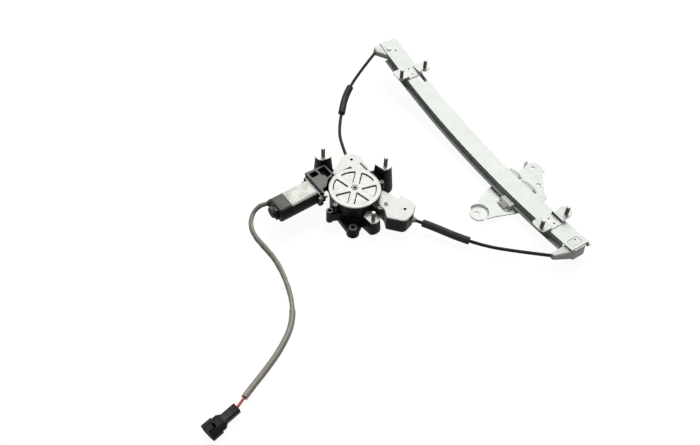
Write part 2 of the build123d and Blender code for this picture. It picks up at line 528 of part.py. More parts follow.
def slider(side, middle, length):
    """A shoe whose slot holds the rail's lip."""
    slot_out, jaw_in = LIP_HALF + 2 * GAP, WALL_FOOT + 3 * GAP
    profile = [
        (SLIDER_OUT, PLATE_TOP - 1),
        (SLIDER_OUT, PLATE_TOP + SLIDER_FOOT),
        (slot_out + SLIDER_LAP, SLIDER_TOP),
        (jaw_in, SLIDER_TOP),
        (jaw_in, SHEET - RAIL_DEPTH + GAP),
        (slot_out, SHEET - RAIL_DEPTH + GAP),
        (slot_out, -RAIL_DEPTH - GAP),
        (WALL_FOOT - 3, -RAIL_DEPTH - GAP),
        (WALL_FOOT - 3, PLATE_TOP - 1),
    ]
    face = Plane.XZ * make_face(Polyline(*[(side * x, z) for x, z in profile], close=True))
    shoe = extrude(face, amount=length / 2, both=True)
    for end in (-1, 1):
        corner = Pos(side * (SLIDER_OUT - 1), end * length / 2, PLATE_TOP + SLIDER_NOTCH_Z)
        shoe -= corner * Box(*SLIDER_NOTCH)
    shoe = on_rail(CARRIER_ARC + middle) * shoe
    below = Pos(0, 0, PLATE_TOP - CUT) * Box(3 * CUT, 3 * CUT, CUT, align=FLAT)
    below += Pos(side * (SLIDER_OUT - PEG_IN), middle, PLATE_TOP) * Cylinder(PEG_R, 2 * PEG_LONG - 1)
    return shoe - on_rail(CARRIER_ARC) * below


def slider_rivets():
    pin = Cylinder(PEG_R - FIT, PLATE + PEG_LONG, align=FLAT)
    rivet = Pos(0, 0, PLATE_TOP - PLATE - PEG_HEAD) * (pin + Cylinder(PEG_HEAD_R, PEG_HEAD, align=FLAT))
    return Compound(children=[on_rail(CARRIER_ARC) * Pos(x, y, 0) * rivet for x, y in peg_places()])


def cable_holder():
    block = Box(2 * HOLDER_HALF, HOLDER_LONG, HOLDER_TOP - PLATE_TOP, align=FLAT)
    block = chamfer(block.faces().sort_by(Axis.Z)[-1].edges(), HOLDER_EDGE)
    block = Pos(0, HOLDER_STEP, PLATE_TOP) * block
    block -= Pos(0, HOLDER_STEP, -CABLE_DEPTH) * Rot(90, 0, 0) * Cylinder(TUNNEL_R, HOLDER_LONG + 2)
    pocket = Box(2 * NIPPLE_R + 2 * GAP, NIPPLE_LONG + 2 * GAP, CUT, align=FLAT)
    for y in NIPPLE_PLACES:
        block -= Pos(0, y, -CABLE_DEPTH - NIPPLE_R - GAP) * pocket
    return on_rail(CARRIER_ARC) * block


def cable_nipples():
    ring = Cylinder(NIPPLE_R, NIPPLE_LONG) - Cylinder(CABLE_D / 2 + GAP, NIPPLE_LONG + 1)
    places = [on_rail(CARRIER_ARC) * Pos(0, y, -CABLE_DEPTH) for y in NIPPLE_PLACES]
    return Compound(children=[place * Rot(90, 0, 0) * ring for place in places])


# ------------------------------------------------------------------ drum side
def lobes(inset=0.0):
    both = rounded(UPPER_LOBE, UPPER_LOBE_R) + rounded(LOWER_LOBE, LOWER_LOBE_R)
    return offset(both, -inset) if inset else both


def outlets():
    """The place where each conduit starts, its Z axis along the conduit's first run."""
    places = []
    for first, second in (UPPER_ROUTE[:2], LOWER_ROUTE[:2]):
        places.append(Plane(origin=first, z_dir=Vector(*second) - Vector(*first)))
    return places


def bridge_face(outline, grow=0.0):
    face = make_face(Polyline(*outline, close=True))
    return offset(face, grow) if grow else face


def tower_section(radius, flat, turn, wall=0.0):
    """The flat side of a tower's D, which carries it, cut square at the back."""
    back = Rectangle(3 * radius, 3 * radius, align=FROM_RIGHT)
    back = Pos(flat - TOWER_DEEP + wall, 0) * back
    return Rot(0, 0, turn) * (d_face(radius - wall, flat - wall, 0) - back)


def tower(x, y, radius, flat, turn, height):
    """A tower that spreads towards its foot, under a full D that the bright flange lies on."""
    top = height - FLANGE
    column = extrude(tower_section(radius, flat, turn), amount=-(top - TOWER_FOOT), taper=-TOWER_DRAFT)
    return Pos(x, y, top) * (column + prism(d_face(radius, flat, turn), -STUD_SEAT, 0))


def mounting_base():
    body = prism(Circle(BASE_R), 0, BASE_TOP)
    body += prism(lobes(LOBE_IN), LOBE_FOOT, BASE_TOP)
    for place in TOWERS:
        body += tower(*place)
    for outline, top in BRIDGES:
        body += prism(bridge_face(outline), LOBE_FOOT, top)
    body += Pos(*EAR, 0) * Cone(EAR_R + EAR_SLOPE, EAR_R - EAR_SLOPE, EAR_TOP, align=FLAT)
    body += Pos(*POST, POST_FOOT) * Cylinder(POST_R, POST_TOP - POST_FOOT, align=FLAT)
    body += prism(make_face(Polyline(*POST_WEB, close=True)), POST_FOOT, POST_WEB_TOP)
    body += Pos(*LOBE_BOSS, 0) * Cylinder(LOBE_BOSS_R, LOBE_BOSS_TOP, align=FLAT)
    # hollow for the drum, bearing, cable ways, hollow towers
    body -= Pos(0, 0, BASE_FLOOR) * Cylinder(DRUM_FLANGE_R + DRUM_ROOM, BASE_TOP, align=FLAT)
    body -= Pos(*LID_RIVET, BASE_TOP - LID_RIVET_DEEP) * Cylinder(LID_RIVET_R, CUT, align=FLAT)
    body += Cylinder(SHAFT_R + BEARING_WALL, DRUM_BOTTOM - GAP, align=FLAT)
    body -= Pos(0, 0, BEARING_FLOOR) * Cylinder(SHAFT_R + FIT, BASE_FLOOR + DRUM_BOTTOM, align=FLAT)
    for place in outlets():
        tangent = drum_tangent(place.origin)
        away = place.origin - tangent
        heading = math.degrees(math.atan2(away.Y, away.X))
        way = Pos(away.length / 2, 0, 0) * Box(away.length + WAY_EXTRA, WAY_WIDE, WAY_TALL)
        body -= Pos(*tangent) * Rot(0, 0, heading) * way
        body -= place * Pos(0, 0, -FERRULE_IN) * Cylinder(FERRULE_R, CUT, align=FLAT)
    for (x, y, radius, flat, turn, height), (sx, sy) in zip(TOWERS, TOWER_STUDS):
        seat = height - FLANGE - STUD_SEAT
        well = min(WELL_TOP, seat - HEAD_TALL)
        body -= Pos(x, y, 0) * prism(tower_section(radius, flat, turn, TOWER_WALL), 0, well)
        body -= Pos(sx, sy, seat - 1) * Cylinder(NECK_R, STUD_SEAT + 2, align=FLAT)
        body -= Pos(sx, sy, well - 1) * Cylinder(HEAD_R + FIT, seat - well + 1, align=FLAT)
    body -= Pos(*EAR, 0) * Cylinder(EAR_HOLE_R, CUT)
    body -= Pos(*POST, POST_TOP - POST_DEEP) * Cylinder(POST_HOLE_R, CUT, align=FLAT)
    body -= in_motor(gearbox_envelope())
    return body


def drum_tangent(start):
    """Where the cable to that point leaves the drum, on the drum's +X side."""
    far = math.hypot(start.X, start.Y)
    spread = math.acos(DRUM_PITCH_R / far)
    towards = math.atan2(start.Y, start.X)
    angle = towards - spread if start.Y > 0 else towards + spread
    return Vector(DRUM_PITCH_R * math.cos(angle), DRUM_PITCH_R * math.sin(angle), CABLE_Z)


def inner_cables():
    """The two runs from the drum to the conduits, clear of the cable wound on the drum."""
    clear = math.sqrt((DRUM_PITCH_R + CABLE_D + GAP) ** 2 - DRUM_PITCH_R**2)
    runs = []
    for place in outlets():
        tangent = drum_tangent(place.origin)
        along = (place.origin - tangent).normalized()
        line = Line(tangent + along * clear, place.origin - along * GAP)
        runs.append(tube(line, CABLE_D / 2))
    return Compound(children=runs)


def ferrule(place):
    """The collar that seats a conduit's end in the base, its mouth wide for the cable."""
    body = Cylinder(FERRULE_R - FIT, FERRULE_LONG, align=FLAT)
    tip = Cone(FERRULE_R - FIT, CONDUIT_D / 2 + 1, FERRULE_TIP, align=FLAT)
    body += Pos(0, 0, FERRULE_LONG) * tip
    body -= Cone(FERRULE_R - FERRULE_WALL, MOUTH_R, FERRULE_IN, align=FLAT)
    body -= Pos(0, 0, FERRULE_IN - FIT) * Cylinder(CONDUIT_D / 2 + FIT, FERRULE_LONG, align=FLAT)
    return place * Pos(0, 0, -FERRULE_IN) * body


def drum_cover():
    """The lid of the drum: a plate under the gearbox with a raised lobe over each cable way."""
    lid = prism(lobes(), BASE_TOP, LID_TOP)
    lid = fillet(lid.faces().sort_by(Axis.Z)[-1].edges(), LID_EDGE)
    lid -= prism(lobes(LID_SHEET) - Circle(GEARBOX_R + 2), BASE_TOP - 1, LID_TOP - LID_SHEET)
    lid -= Pos(0, 0, GEARBOX_BOTTOM) * Cylinder(GEARBOX_R + GAP, CUT, align=FLAT)
    lid += prism(Circle(BASE_R), BASE_TOP, BASE_TOP + LID_SHEET)
    lid -= Cylinder(SHAFT_R + 1, 4 * LID_TOP)
    lid -= in_motor(along_motor(TUNNEL_OUT_R + GAP, CAN_START, TUNNEL_END + GAP))
    for x, y in LID_HOLES:
        lid -= Pos(x, y, LID_TOP) * Cylinder(LID_HOLE_R, CUT)
    lid -= Pos(*LID_RIVET, LID_TOP) * Cylinder(LID_RIVET_R, CUT)
    groove = Pos(*LID_GROOVE) * Rot(0, 0, LID_GROOVE_TURN) * SlotOverall(*LID_GROOVE_SIZE)
    lid -= prism(groove, LID_TOP - LID_SHEET / 2, LID_TOP + 1)
    lid -= prism(bridge_face(BRIDGES[1][0], GAP) - Circle(BASE_R), 0, 2 * LID_TOP)
    for x, y, radius, flat, turn, _ in TOWERS[1:]:
        room = d_face(radius + FLANGE_OUT + GAP, flat + FLANGE_OUT + GAP, turn)
        lid -= Pos(x, y, 0) * prism(room, 0, 2 * LID_TOP)
    return lid - in_motor(screw_bosses(GAP))


def cover_rivet():
    """The tubular rivet that holds the lower lobe down."""
    long = LID_TOP - BASE_TOP + LID_RIVET_DEEP
    pin = Pos(0, 0, -long) * Cylinder(LID_RIVET_R - FIT, long, align=FLAT)
    head = Cylinder(LID_RIVET_R + 1, LID_RIVET_HEAD, align=FLAT)
    head -= Cylinder(LID_RIVET_R - LID_RIVET_LIP, 3 * LID_RIVET_HEAD)
    return Pos(*LID_RIVET, LID_TOP) * (pin + head)


def stud_flanges():
    plates = []
    for (x, y, radius, flat, turn, height), (sx, sy) in zip(TOWERS, TOWER_STUDS):
        face = d_face(radius + FLANGE_OUT, flat + FLANGE_OUT, turn)
        plate = Pos(x, y, 0) * prism(face, height - FLANGE, height)
        plates.append(plate - Pos(sx, sy, height) * Cylinder(NECK_R, 4 * FLANGE))
    return Compound(children=plates)


def motor_studs():
    heights = [place[-1] for place in TOWERS]
    return Compound(children=[stud(x, y, z, FLANGE + STUD_SEAT) for (x, y), z in zip(TOWER_STUDS, heights)])


def drum_shaft():
    shaft = Pos(0, 0, SHAFT_START) * Cylinder(SHAFT_R, SHAFT_TOP - SHAFT_START, align=FLAT)
    groove = Cylinder(SHAFT_R + 1, RING_GROOVE, align=FLAT) - Cylinder(SHAFT_R - RING_DEEP, CUT)
    return shaft - Pos(0, 0, WHEEL_BOTTOM + WHEEL_TALL + 2 * FIT) * groove


def retaining_ring():
    ring = Circle(SHAFT_R + RING_OUT) - Circle(SHAFT_R - RING_DEEP + 2 * FIT)
    ring -= Pos(SHAFT_R, 0) * Rectangle(2 * SHAFT_R, 3)
    low = WHEEL_BOTTOM + WHEEL_TALL + 3 * FIT
    return prism(ring, low, low + RING_SHEET)


def cable_drum():
    body = Cylinder(DRUM_PITCH_R - CABLE_D / 2 - FIT, DRUM_TALL, align=FLAT)
    for z in (0, DRUM_TALL - DRUM_RIM):
        body += Pos(0, 0, z) * Cylinder(DRUM_FLANGE_R, DRUM_RIM, align=FLAT)
    body -= Cylinder(SHAFT_R + FIT, 2 * CUT)
    ring = Circle(DRUM_PITCH_R - BEARING_WALL) - Circle(SHAFT_R + BEARING_WALL)
    body -= prism(ring, DRUM_TALL - DRUM_HOLLOW, DRUM_TALL + 1)
    rib = Pos(DRUM_PITCH_R / 2 + 1, 0, DRUM_TALL - DRUM_HOLLOW) * Box(*DRUM_RIB, align=FLAT)
    for k in range(DRUM_RIBS):
        body += Rot(0, 0, k * 360 / DRUM_RIBS) * rib
    return Pos(0, 0, DRUM_BOTTOM) * body


def drum_cable():
    height = DRUM_TURNS * CABLE_PITCH
    line = Helix(CABLE_PITCH, height, DRUM_PITCH_R)
    return Pos(0, 0, CABLE_Z - height / 2) * sweep(
        Plane(origin=line @ 0, z_dir=line % 0) * RegularPolygon(CABLE_D / 2, 6), path=line, is_frenet=True
    )


def worm_wheel():
    step = 360 / WHEEL_TEETH
    pitch = 2 * math.pi * WHEEL_PITCH_R / WHEEL_TEETH
    tip, root = WHEEL_PITCH_R + TOOTH_TIP, WHEEL_PITCH_R - TOOTH_ROOT
    outline = []
    for tooth in range(WHEEL_TEETH):
        middle = 90 + (tooth + 0.5) * step
        flank = [(root, TOOTH_ROOT_HALF), (tip, TOOTH_TIP_HALF)]
        for radius, share in [(r, -half) for r, half in flank] + flank[::-1]:
            angle = math.radians(middle + share * math.degrees(pitch / WHEEL_PITCH_R))
            outline.append((radius * math.cos(angle), radius * math.sin(angle)))
    wheel = extrude(make_face(Polyline(*outline, close=True)), amount=WHEEL_TALL)
    dish_out, dish_in, dish_deep = WHEEL_DISH
    wheel -= Pos(0, 0, WHEEL_TALL - dish_deep) * prism(Circle(dish_out) - Circle(dish_in), 0, CUT)
    wheel -= Cylinder(SHAFT_R + FIT, CUT)
    return in_motor(Pos(0, 0, WHEEL_BOTTOM) * wheel)


# ------------------------------------------------------------------ gearbox
def screw_bosses(grow=0.0):
    """The lugs round the gearbox that its screws go into, each tied to the round wall."""
    low, high = GEARBOX_BOTTOM - 2 * grow, GEARBOX_TOP - 1 + 2 * grow
    lugs = []
    for x, y in cover_screw_places():
        far, turn = math.hypot(x, y), math.degrees(math.atan2(y, x))
        face = Pos(far, 0) * Circle(BOSS_R + grow)
        face += Pos(far, 0) * Rectangle(far - GEARBOX_R + 3, 2 * (BOSS_R + grow), align=FROM_RIGHT)
        lugs.append(Rot(0, 0, turn) * prism(face, low, high))
    return lugs[0] + lugs[1] + lugs[2]


def gearbox_envelope():
    """What the base and the lid keep clear of."""
    body = prism(Circle(GEARBOX_R + GAP), BASE_TOP, GEARBOX_TOP)
    body += along_motor(TUNNEL_OUT_R + GAP, CAN_START - 2, TUNNEL_END + GAP)
    return body + screw_bosses(GAP)


def flange_face():
    face = RectangleRounded(FLANGE_WIDE, FLANGE_TALL, FLANGE_ROUND)
    for side in (-1, 1):
        face += Pos(side * SCREW_EAR[0], -side * SCREW_EAR[1]) * Circle(CAN_SCREW_R + EAR_OUT)
    for side in (-1, 1):
        face -= Pos(side * SCREW_EAR[0], -side * SCREW_EAR[1]) * Circle(CAN_SCREW_R)
    return face


def gear_housing():
    body = prism(Circle(GEARBOX_R), GEARBOX_BOTTOM, GEARBOX_TOP)
    tunnel = along_motor(TUNNEL_OUT_R, CAN_START + TUNNEL_START, TUNNEL_END)
    body += tunnel - Pos(0, 0, GEARBOX_TOP) * Box(TUNNEL_FLAT, 2 * FLANGE_WIDE, CUT, align=FLAT)
    body += motor_section(flange_face(), CAN_START, CAN_START + FLANGE_SHEET)
    body += screw_bosses()
    floor = GEARBOX_BOTTOM + GEARBOX_FLOOR
    body -= Pos(0, 0, floor) * Cylinder(WHEEL_PITCH_R + TOOTH_TIP + WHEEL_ROOM, CUT, align=FLAT)
    body -= Pos(0, 0, GEARBOX_TOP - 2) * Cylinder(COVER_SEAT_R, CUT, align=FLAT)
    body -= along_motor(TUNNEL_IN_R, CAN_START - 1, PAD_END)
    body -= Cylinder(SHAFT_R + FIT, 4 * GEARBOX_TOP)
    for x, y in cover_screw_places():
        body -= Pos(x, y, GEARBOX_TOP) * Cylinder(COVER_SCREW_R, 2 * COVER_SCREW_LONG + 2)
    return in_motor(body)


def cover_screw_places():
    return [(x * math.cos(a), x * math.sin(a)) for x, a in COVER_SCREWS]


def cover_screws():
    screws = []
    for x, y in cover_screw_places():
        pin = Pos(0, 0, -COVER_SCREW_LONG) * Cylinder(COVER_SCREW_R - FIT, COVER_SCREW_LONG, align=FLAT)
        head = Cylinder(COVER_SCREW_HEAD_R, 2, align=FLAT) - prism(RegularPolygon(HEX_R, 6), 1, 3)
        screws.append(in_motor(Pos(x, y, GEARBOX_TOP - 1) * (pin + head)))
    return Compound(children=screws)


def pocket_face(grow=0.0):
    """One rounded sector between two parallel-sided spokes."""
    far = COVER_R - RIM_WIDE + grow
    half = SPOKE_HALF - grow
    step = math.pi / POCKETS
    inner = half / math.sin(step)
    reach = math.sqrt(far**2 - half**2)
    corner = (
        reach * math.cos(step) + half * math.sin(step),
        reach * math.sin(step) - half * math.cos(step),
    )
    face = make_face(
        Polyline((corner[0], corner[1]), (inner, 0), (corner[0], -corner[1]))
        + ThreePointArc((corner[0], -corner[1]), (far, 0), corner)
    )
    return fillet(face.vertices(), POCKET_ROUND + grow)


def gear_cover():
    """A pressed lid: six sunk pockets between parallel-sided spokes, of one sheet thickness."""
    disc = Pos(0, 0, GEARBOX_TOP) * Cylinder(COVER_R, COVER_TOP_Z - GEARBOX_TOP, align=FLAT)
    disc = fillet(disc.faces().sort_by(Axis.Z)[-1].edges(), COVER_EDGE)
    hollow = COVER_TOP_Z - COVER_SHEET - GEARBOX_TOP
    disc -= Pos(0, 0, GEARBOX_TOP - 1) * Cylinder(COVER_SEAT_R, 1 + hollow, align=FLAT)
    floor = COVER_TOP_Z - POCKET_DEEP
    turns = [Rot(0, 0, POCKET_TURN + k * 360 / POCKETS - MOTOR_TURN) for k in range(POCKETS)]
    for turn in turns:
        pan = prism(pocket_face(COVER_SHEET - 4 * FIT), floor - COVER_SHEET, COVER_TOP_Z - COVER_SHEET)
        disc += turn * pan
    for turn in turns:
        face = turn * Pos(0, 0, COVER_TOP_Z) * pocket_face()
        disc -= extrude(face, amount=-POCKET_DEEP, taper=POCKET_SLOPE)
    disc -= Pos(0, 0, GEARBOX_TOP) * Cylinder(HUB_HOLE_R, CUT)
    return in_motor(disc)


# ------------------------------------------------------------------ motor
def motor_can():
    body = motor_section(double_d(CAN_R, CAN_HALF), CAN_END, CAN_START)
    body += motor_section(flange_face(), CAN_START - EAR_SHEET, CAN_START)
    body -= motor_section(double_d(CAN_R - CAN_WALL, CAN_HALF - CAN_WALL), CAN_END - 1, CAN_START + 1)
    return in_motor(body)


def can_screws():
    screws = []
    for side in (-1, 1):
        face, seat = Pos(side * SCREW_EAR[0], -side * SCREW_EAR[1]), CAN_START - EAR_SHEET
        pin = motor_section(face * Circle(CAN_SCREW_R - FIT), seat, CAN_START + CAN_SCREW_LONG)
        head = motor_section(face * RegularPolygon(CAN_SCREW_HEAD_R, 6), seat - CAN_SCREW_HEAD, seat)
        screws.append(in_motor(pin + head))
    return Compound(children=screws)


def motor_end_cap():
    body = motor_section(double_d(CAN_R, CAN_HALF), CAP_END, CAN_END)
    body = chamfer(body.faces().sort_by(Axis.X)[0].edges(), CAP_EDGE)
    boss = along_motor(CAP_BOSS_R, CAP_END - CAP_BOSS_LONG, CAP_END + 1)
    rib = Pos(-CAP_BOSS_R / 2, 0) * Rectangle(CAP_BOSS_R, CAP_RIB)
    boss += motor_section(rib, CAP_END - CAP_BOSS_LONG / 2, CAP_END + 1)
    body += fillet(boss.faces().sort_by(Axis.X)[0].edges(), CAP_EDGE)
    inner = double_d(CAN_R - CAP_WALL, CAN_HALF - CAP_WALL)
    body -= motor_section(inner, CAP_END + CAP_FACE, CAN_END + 1)
    body -= along_motor(BUSH_R, CAP_END - 2 * BUSH_SUNK, CAP_END + BUSH_DEEP)
    outer, inside = LEAD_D / 2 + GROMMET_WALL, lead_exit() * Pos(0, 0, -GROMMET_IN)
    collar = inside * Cylinder(outer + COLLAR_WALL, GROMMET_IN + COLLAR_OUT, align=FLAT)
    bore = inside * Pos(0, 0, -2 * GROMMET_IN) * Cylinder(outer + FIT, CUT, align=FLAT)
    return in_motor(body) + collar - bore


def lead_exit():
    """The start of the motor lead, its Z axis along the lead's first run."""
    start, following = Vector(*LEAD_ROUTE[0]), Vector(*LEAD_ROUTE[1])
    return Plane(origin=start, z_dir=following - start)


def shaft_bearings():
    """Sintered bushes: one in the end cap, one each side of the worm."""
    bushes = []
    rows = ((BUSH_R, CAP_END - BUSH_SUNK), (TUNNEL_IN_R, REAR_BUSH_X), (TUNNEL_IN_R, FRONT_BUSH_X))
    for radius, start in rows:
        bush = along_motor(radius - FIT, start, start + BUSH_LONG)
        bush -= along_motor(MOTOR_SHAFT_R + FIT, start - 1, start + BUSH_LONG + 1)
        bushes.append(in_motor(bush))
    return Compound(children=bushes)


def thrust_pad():
    return in_motor(along_motor(TUNNEL_IN_R - FIT, FRONT_BUSH_X + BUSH_LONG + GAP, PAD_END))


def can_magnets():
    ring = Circle(CAN_R - CAN_WALL - FIT) - Circle(CORE_R + MAGNET_GAP)
    band = ring & Rectangle(2 * CAN_R, MAGNET_WIDE)
    magnets = motor_section(band, CORE_X - 2, CORE_X + CORE_LONG + 2)
    return Compound(children=[in_motor(piece) for piece in magnets.solids()])


def brushes():
    """Two carbon brushes, one each side of the commutator."""
    pieces = []
    middle = COMMUTATOR_X + COMMUTATOR_LONG / 2
    for side in (-1, 1):
        near, far = COMMUTATOR_R + GAP, CAN_R - CAN_WALL - BRUSH_END
        box = Box(BRUSH[0], far - near, BRUSH[1])
        pieces.append(in_motor(Pos(middle, MOTOR_Y + side * (near + far) / 2, MOTOR_Z) * box))
    return Compound(children=pieces)


def lead_bracket():
    """The grey bracket on the gearbox, with two empty pockets for a plug."""
    plate = prism(make_face(Polyline(*BRACKET_OUTLINE, close=True)), BRACKET_Z, BRACKET_TOP_Z)
    block = [point for point in BRACKET_OUTLINE if point[1] > BLOCK_EDGE]
    block += [(block[-1][0], BLOCK_EDGE), (block[0][0], BLOCK_EDGE)]
    body = plate + prism(make_face(Polyline(*block, close=True)), GEARBOX_BOTTOM + BLOCK_FOOT, BRACKET_Z)
    for pocket in (LEFT_POCKET, RIGHT_POCKET):
        body -= prism(rounded(pocket, [1] * len(pocket)), BRACKET_TOP_Z - POCKET_HOLE, BRACKET_TOP_Z + 1)
    return in_motor(body)


def cord_grommet():
    length = GROMMET_IN + GROMMET_OUT
    body = Cylinder(LEAD_D / 2 + GROMMET_WALL, length, align=FLAT)
    lip = Cylinder(LEAD_D / 2 + GROMMET_WALL + 1, GROMMET_LIP, align=FLAT)
    body += Pos(0, 0, GROMMET_IN + COLLAR_OUT + FIT) * lip
    body -= Pos(0, 0, -1) * Cylinder(LEAD_D / 2 + FIT, length + 2, align=FLAT)
    return lead_exit() * Pos(0, 0, -GROMMET_IN) * body


def armature_shaft():
    shaft = along_motor(MOTOR_SHAFT_R, CAP_END + SHAFT_END, FRONT_BUSH_X + BUSH_LONG)
    thread_pitch = 2 * math.pi * WHEEL_PITCH_R / WHEEL_TEETH
    length = WORM_TURNS * thread_pitch
    root, tip = WORM_PITCH_R - THREAD_ROOT, WORM_PITCH_R + TOOTH_TIP
    line = Helix(thread_pitch, length, WORM_PITCH_R)
    flank = [(root - 4 * FIT, THREAD_ROOT_HALF), (tip, THREAD_TIP_HALF)]
    section = [(r, -half) for r, half in flank] + flank[::-1]
    thread = sweep(Plane.XZ * make_face(Polyline(*section, close=True)), path=line, is_frenet=True)
    start = 180 * (WORM_TURNS % 2) - 90  # a gap of the thread faces the wheel's tooth
    thread = Rot(0, 90, 0) * Rot(0, 0, start) * Pos(0, 0, -length / 2) * thread
    body = shaft + along_motor(root, -length / 2 - WORM_EXTRA, length / 2 + WORM_EXTRA)
    return in_motor(body + Pos(0, MOTOR_Y, MOTOR_Z) * thread)


def armature_core():
    disc = Circle(CORE_R)
    for k in range(CORE_SLOTS):
        disc -= Rot(0, 0, k * 360 / CORE_SLOTS) * Pos(CORE_R - CORE_SLOT_IN, 0) * Rectangle(*CORE_SLOT)
    disc -= Circle(MOTOR_SHAFT_R + FIT)
    return in_motor(motor_section(disc, CORE_X, CORE_X + CORE_LONG))


def armature_windings():
    """The heads of the winding, which bulge out at both ends of the core."""
    heads = []
    ring = Circle(CORE_R - WINDING_IN) - Circle(MOTOR_SHAFT_R + FIT)
    for start in (CORE_X - WINDING_LONG - FIT, CORE_X + CORE_LONG + FIT):
        heads.append(in_motor(motor_section(ring, start, start + WINDING_LONG)))
    return Compound(children=heads)


def commutator():
    ring = Circle(COMMUTATOR_R) - Circle(MOTOR_SHAFT_R + FIT)
    for k in range(BARS):
        ring -= Rot(0, 0, (k + 0.5) * 360 / BARS) * Pos(COMMUTATOR_R, 0) * Rectangle(*BAR_GAP)
    return in_motor(motor_section(ring, COMMUTATOR_X, COMMUTATOR_X + COMMUTATOR_LONG))


# ------------------------------------------------------------------ motor lead
def plug_place():
    return Pos(*PLUG_REAR, PLUG_Z) * Rot(0, 0, PLUG_TURN)


def plug_section(face, start, end):
    plane = Plane(origin=(start, 0, 0), x_dir=(0, 1, 0), z_dir=(1, 0, 0))
    return extrude(plane * face, amount=end - start)


def plug_neck(start, end):
    """The taper between the plug's slim rear and its hood."""
    slim = Plane(origin=(start, 0, 0), x_dir=(0, 1, 0), z_dir=(1, 0, 0))
    wide = Plane(origin=(end, 0, 0), x_dir=(0, 1, 0), z_dir=(1, 0, 0))
    hood = RectangleRounded(HOOD_WIDE - 1, HOOD_TALL - 1, HOOD_ROUND)
    return loft([slim * RectangleRounded(*PLUG_BODY, PLUG_BODY_ROUND), wide * hood])


def connector_housing():
    hood, end = PLUG_LONG - HOOD_LONG, PLUG_LONG + 1
    body = plug_section(RectangleRounded(*PLUG_BODY, PLUG_BODY_ROUND), 0, hood + 1)
    body += plug_neck(hood - NECK_LONG, hood)
    body += plug_section(SlotOverall(HOOD_WIDE, HOOD_TALL), hood, PLUG_LONG)
    for side in (-1, 1):
        wing = Pos(side * HOOD_WIDE / 2, 0) * Rectangle(*SIDE_RIB)
        body += plug_section(wing, hood + SIDE_RIB_START, PLUG_LONG)
        foot = Pos(side * FOOT_RIB_OUT, -HOOD_TALL / 2 - 2 * GAP) * Rectangle(*FOOT_RIB)
        body += plug_section(foot, hood + FOOT_RIB_START, PLUG_LONG - 2)
    latch = Pos(0, HOOD_TALL / 2 + 1) * RectangleRounded(*LATCH, LATCH_ROUND)
    body += plug_section(latch, PLUG_LONG - LATCH_LONG, PLUG_LONG)
    inside = SlotOverall(HOOD_WIDE - 2 * HOOD_WALL, HOOD_TALL - 2 * HOOD_WALL)
    body -= plug_section(inside, hood + 2, end)
    for side in (-1, 1):
        slot = Pos(side * (HOOD_WIDE / 2 - 1), 0) * Rectangle(*SIDE_SLOT)
        body -= plug_section(slot, hood + SIDE_SLOT_START, end)
    latch_hole = Pos(0, HOOD_TALL / 2 + 2 * GAP) * Rectangle(*LATCH_HOLE)
    body -= plug_section(latch_hole, PLUG_LONG - LATCH_DEEP, end)
    body -= plug_section(Circle(WIRE_D / 2 + WIRE_ROOM), -1, WIRE_HOLE)
    return plug_place() * body


def connector_insert():
    start = PLUG_LONG - HOOD_LONG + 2
    foot = SlotOverall(POST_WIDE + 2 * SEAL_RIDGE, POST_TALL + 2 * SEAL_RIDGE)
    post = plug_section(SlotOverall(POST_WIDE, POST_TALL), start, PLUG_LONG - INSERT_TIP)
    post += plug_section(foot, start, start + INSERT_FOOT)
    for side in (-1, 1):
        hole = Pos(side * PIN_OUT, 0) * Rectangle(*PIN_HOLE)
        post -= plug_section(hole, PLUG_LONG - PIN_DEEP, PLUG_LONG)
    post -= plug_section(Rectangle(*KEY_SLOT), PLUG_LONG - KEY_DEEP, PLUG_LONG)
    return plug_place() * post


def connector_seal():
    start = PLUG_LONG - HOOD_LONG + 2 + INSERT_FOOT + FIT
    band = SlotOverall(POST_WIDE + SEAL_RIDGE, POST_TALL + SEAL_RIDGE)
    ridge = SlotOverall(POST_WIDE + 2 * SEAL_RIDGE, POST_TALL + 2 * SEAL_RIDGE)
    seal = plug_section(band, start, start + SEAL_LONG)
    for step in SEAL_RINGS:
        seal += plug_section(ridge, start + step, start + step + SEAL_RING)
    seal -= plug_section(SlotOverall(POST_WIDE + 2 * FIT, POST_TALL + 2 * FIT), start - 1, start + CUT)
    return plug_place() * seal


def connector_terminals():
    pins = []
    for side in (-1, 1):
        blade = Pos(side * PIN_OUT, -PIN[1] / 2) * Rectangle(*PIN)
        pins.append(plug_place() * plug_section(blade, PLUG_LONG - PIN_DEEP, PLUG_LONG - PIN_TIP))
    return Compound(children=pins)


def lead_pieces(joint=8):
    """The wires and the two soft tubes over them, which meet in the middle of one run."""
    runs = len(LEAD_ROUTE) - 2
    wires = tube(route_line(LEAD_ROUTE), WIRE_D / 2)
    upper = tube(route_line(LEAD_ROUTE, 0, joint), LEAD_D / 2, WIRE_D / 2 + FIT)
    lower = tube(route_line(LEAD_ROUTE, joint, runs), JOINT_D / 2, WIRE_D / 2 + FIT)
    return {"lead_wires": wires, "upper_lead_sleeve": upper, "lower_lead_sleeve": lower}


def conduit_pieces(upper_runs=(2, 3), lower_runs=(0, 2)):
    """The conduits, and their rubber sleeves between the middles of two runs."""
    upper, lower = route_line(UPPER_ROUTE), route_line(LOWER_ROUTE)
    inner = CONDUIT_D / 2 + FIT
    return {
        "upper_conduit": tube(upper, CONDUIT_D / 2),
        "lower_conduit": tube(lower, CONDUIT_D / 2),
        "upper_conduit_sleeve": tube(route_line(UPPER_ROUTE, *upper_runs), SLEEVE_D / 2, inner),
        "lower_conduit_sleeve": tube(route_line(LOWER_ROUTE, *lower_runs), SLEEVE_D / 2, inner),
    }


for name, route in (("lead", LEAD_ROUTE), ("upper conduit", UPPER_ROUTE), ("lower conduit", LOWER_ROUTE)):
    print(name, "bends", [round(r) for r in bend_radii(route)], "length", round(route_line(route).length, 1))

